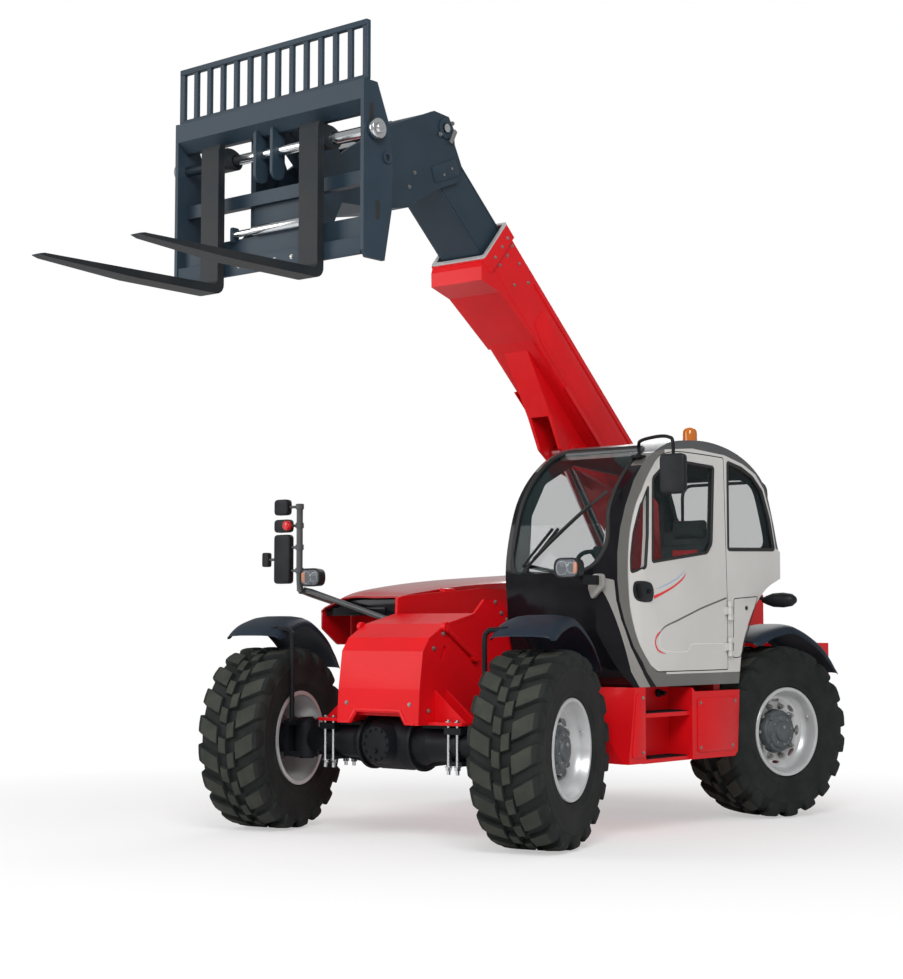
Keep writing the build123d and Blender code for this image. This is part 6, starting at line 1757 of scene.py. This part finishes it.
@dataclass
class Carriage:
    """The tilting carriage with its guard, shaft and pallet forks."""

    half: float = 0.785
    face: float = -1.215
    shaft: Flat = (-1.13, 4.12)

    def build(self) -> None:
        """Makes every piece of the carriage."""
        dress("carriage_frame", BLUE_GREY, 0.004)
        self.side_plates()
        self.guard()
        self.shaft_parts()
        self.details()
        for name, side in (("fork_left", 1), ("fork_right", -1)):
            self.fork(name, side)

    def side_plates(self) -> None:
        """Bosses on both side plates, with thin dark plates painted as the shade in two slots and in each boss's
        hole.
        """
        parts = Shape()
        dark = Shape()
        for side in (-1, 1):
            view = flank(self.half, side)
            parts.plate(view, circle((-1.021, 3.977), 0.034, 32), -0.001, 0.01,
                    holes=(circle((-1.021, 3.977), 0.018, 24),), edge=0.002)
            # Painted shade: flat dark plates stand for the slots' depth and the boss's bore.
            for place in ((-1.096, 3.663), (-1.15, 4.216)):
                dark.plate(view, pad(place, 0.034, 0.11, 0.017, 6), -0.002, 0.0012, edge=0.0005)
            dark.plate(view, circle((-1.021, 3.977), 0.018, 24), -0.002, 0.0012, edge=0.0005)
        parts.piece("carriage_bosses", BLUE_GREY, "carriage", smooth=40)
        dark.piece("carriage_slot_shade", SEAL, "carriage")

    def guard(self) -> None:
        """The load guard: one plate cut into upright bars, with a thicker top rail."""
        low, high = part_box("backrest_guard")
        z0, z1 = low[2] + 0.0005, high[2] - 0.0005
        pitch = (2 * self.half - 0.05) / 13
        holes = []
        for k in range(13):
            middle = -self.half + 0.025 + (k + 0.5) * pitch
            holes.append(pad((middle, (z0 + z1) / 2 - 0.004), pitch - 0.032, z1 - z0 - 0.066, 0.006))
        bars = Shape().plate(front_view(-1.19), pad((0, (z0 + z1) / 2), 2 * self.half, z1 - z0, 0.012), -0.034,
                -0.006, holes, edge=0.003)
        bars.plate(front_view(-1.19), rectangle((0, z1 - 0.018), 2 * self.half - 0.01, 0.034), -0.039, -0.001,
                edge=0.003)
        bars.piece("guard_bars", BLUE_GREY, "carriage", bevel=0.003, replaces="backrest_guard")

    def shaft_parts(self) -> None:
        """The polished shaft with its two end collars."""
        view = side_view(0)
        shaft = Shape().lathe(view, mm("-845 0, -845 28, -841 32, 841 32, 845 28, 845 0"), 40)
        for a, b in ((-0.83, -0.788), (0.788, 0.83)):
            shaft.lathe(view, [(a, 0.0), (a, 0.056), (a + 0.005, 0.06), (b - 0.005, 0.06), (b, 0.056), (b, 0.0)], 40)
        for place in shaft.verts:
            place.y += self.shaft[0]
            place.z += self.shaft[1]
        shaft.piece("fork_shaft_bright", BRIGHT, "carriage", smooth=45, replaces="fork_shaft")

    def details(self) -> None:
        """The lower plate, the bright ram between the forks and their bolts."""
        webs = Shape().plate(front_view(self.face + 0.03), mm("-755 3400, 755 3400, 755 3500, -755 3500"), 0.0, 0.026,
                edge=0.003)
        for side in (-1, 1):
            webs.plate(side_view(side * 0.292), pad((-1.178, 3.65), 0.062, 0.09, 0.015), -0.008, 0.008, edge=0.002)
        webs.piece("carriage_webs", BLUE_GREY, "carriage", smooth=40)
        ram = Shape().lathe(facing(spot(0, -1.184, 3.652), (1, 0, 0)),
                mm("-284 0, -284 20, -120 20, -118 30, 276 30, 284 26, 284 0"), 32)
        ram.piece("carriage_ram", BRIGHT, "carriage", smooth=45)
        bolts = Shape().bolts(front_view(self.face + 0.004), [(x, 3.45) for x in (-0.22, -0.08, 0.08, 0.22)], 0.01,
                0.01)
        bolts.fasteners("carriage_bolts", "carriage")

    def fork(self, name: str, side: int) -> None:
        """One forged fork: thick heel, tapered blade and a hooked eye on the shaft.

        Args:
            name: The fork's node and body.
            side: The side of the machine it hangs on.
        """
        x = side * 0.41
        back, heel, tip = self.face - 0.005, 0.055, -2.55
        load = back - heel
        bottom, top = 3.29, 3.345
        line = [(back, 4.2), (back, 3.42), *[(back - 0.06 + 0.06 * math.cos(t), 3.35 - 0.06 * math.sin(t))
                for t in [math.pi / 2 * k / 6 for k in range(7)]], (-1.9, bottom + 0.004), (tip + 0.045, top - 0.02),
                (tip, top - 0.011), (tip, top - 0.006), (tip + 0.03, top),
                *[(load - 0.03 + 0.03 * math.sin(t), top + 0.03 - 0.03 * math.cos(t))
                for t in [math.pi / 2 * k / 5 for k in range(6)]], (load, 4.16), (load + 0.012, 4.195)]
        blade = Shape()
        half = 0.075
        blade.prism(side_view(x), line, -half, half)
        narrow = tip + 0.34
        for place in blade.verts:
            behind = place.y - FRONT_AXLE_Y
            if behind < narrow:
                share = (narrow - behind) / 0.34
                place.x = x + (place.x - x) * (1 - 0.5 * share ** 1.6)
        eye = Shape().plate(side_view(x), rounded([(back - 0.004, 4.185), (-1.15, 4.19), (-1.085, 4.16),
                (-1.068, 4.11), (-1.09, 4.07), (-1.15, 4.058), (back - 0.004, 4.058)], 0.03), -half, half,
                holes=(circle(self.shaft, 0.0335, 32),), edge=0.003)
        blade.piece(f"{name}_blade", FORK_GREY, name, bevel=0.005, smooth=40, replaces=name,
                zones=((FORK_WORN, lambda centre, normal: normal.z > 0.7),))
        eye.piece(f"{name}_eye", FORK_GREY, name, smooth=40, replaces=name)


# ---------------------------------------------------------------- the whole machine
def main() -> None:
    """Builds the machine's pieces in order."""
    logging.basicConfig(level=logging.INFO, format="%(message)s")
    Studio().build()
    for corner, side, behind, steer in (("front_left", 1, 0.0, 14), ("front_right", -1, 0.0, 14),
            ("rear_left", 1, WHEELBASE, -14), ("rear_right", -1, WHEELBASE, -14)):
        Wheel(corner, side, behind, steer).build()
    Axle("front", 0.0, -1).build()
    Axle("rear", WHEELBASE, 1).build()
    Bodywork().build()
    Cab().build()
    Signals().build()
    Boom().build()
    Carriage().build()
    for thing in frame["nodes"].values():
        if not thing.material_slots or thing.material_slots[0].material is None:
            log.info("%s has no finish", thing.name)


if __name__ == "__main__":
    main()
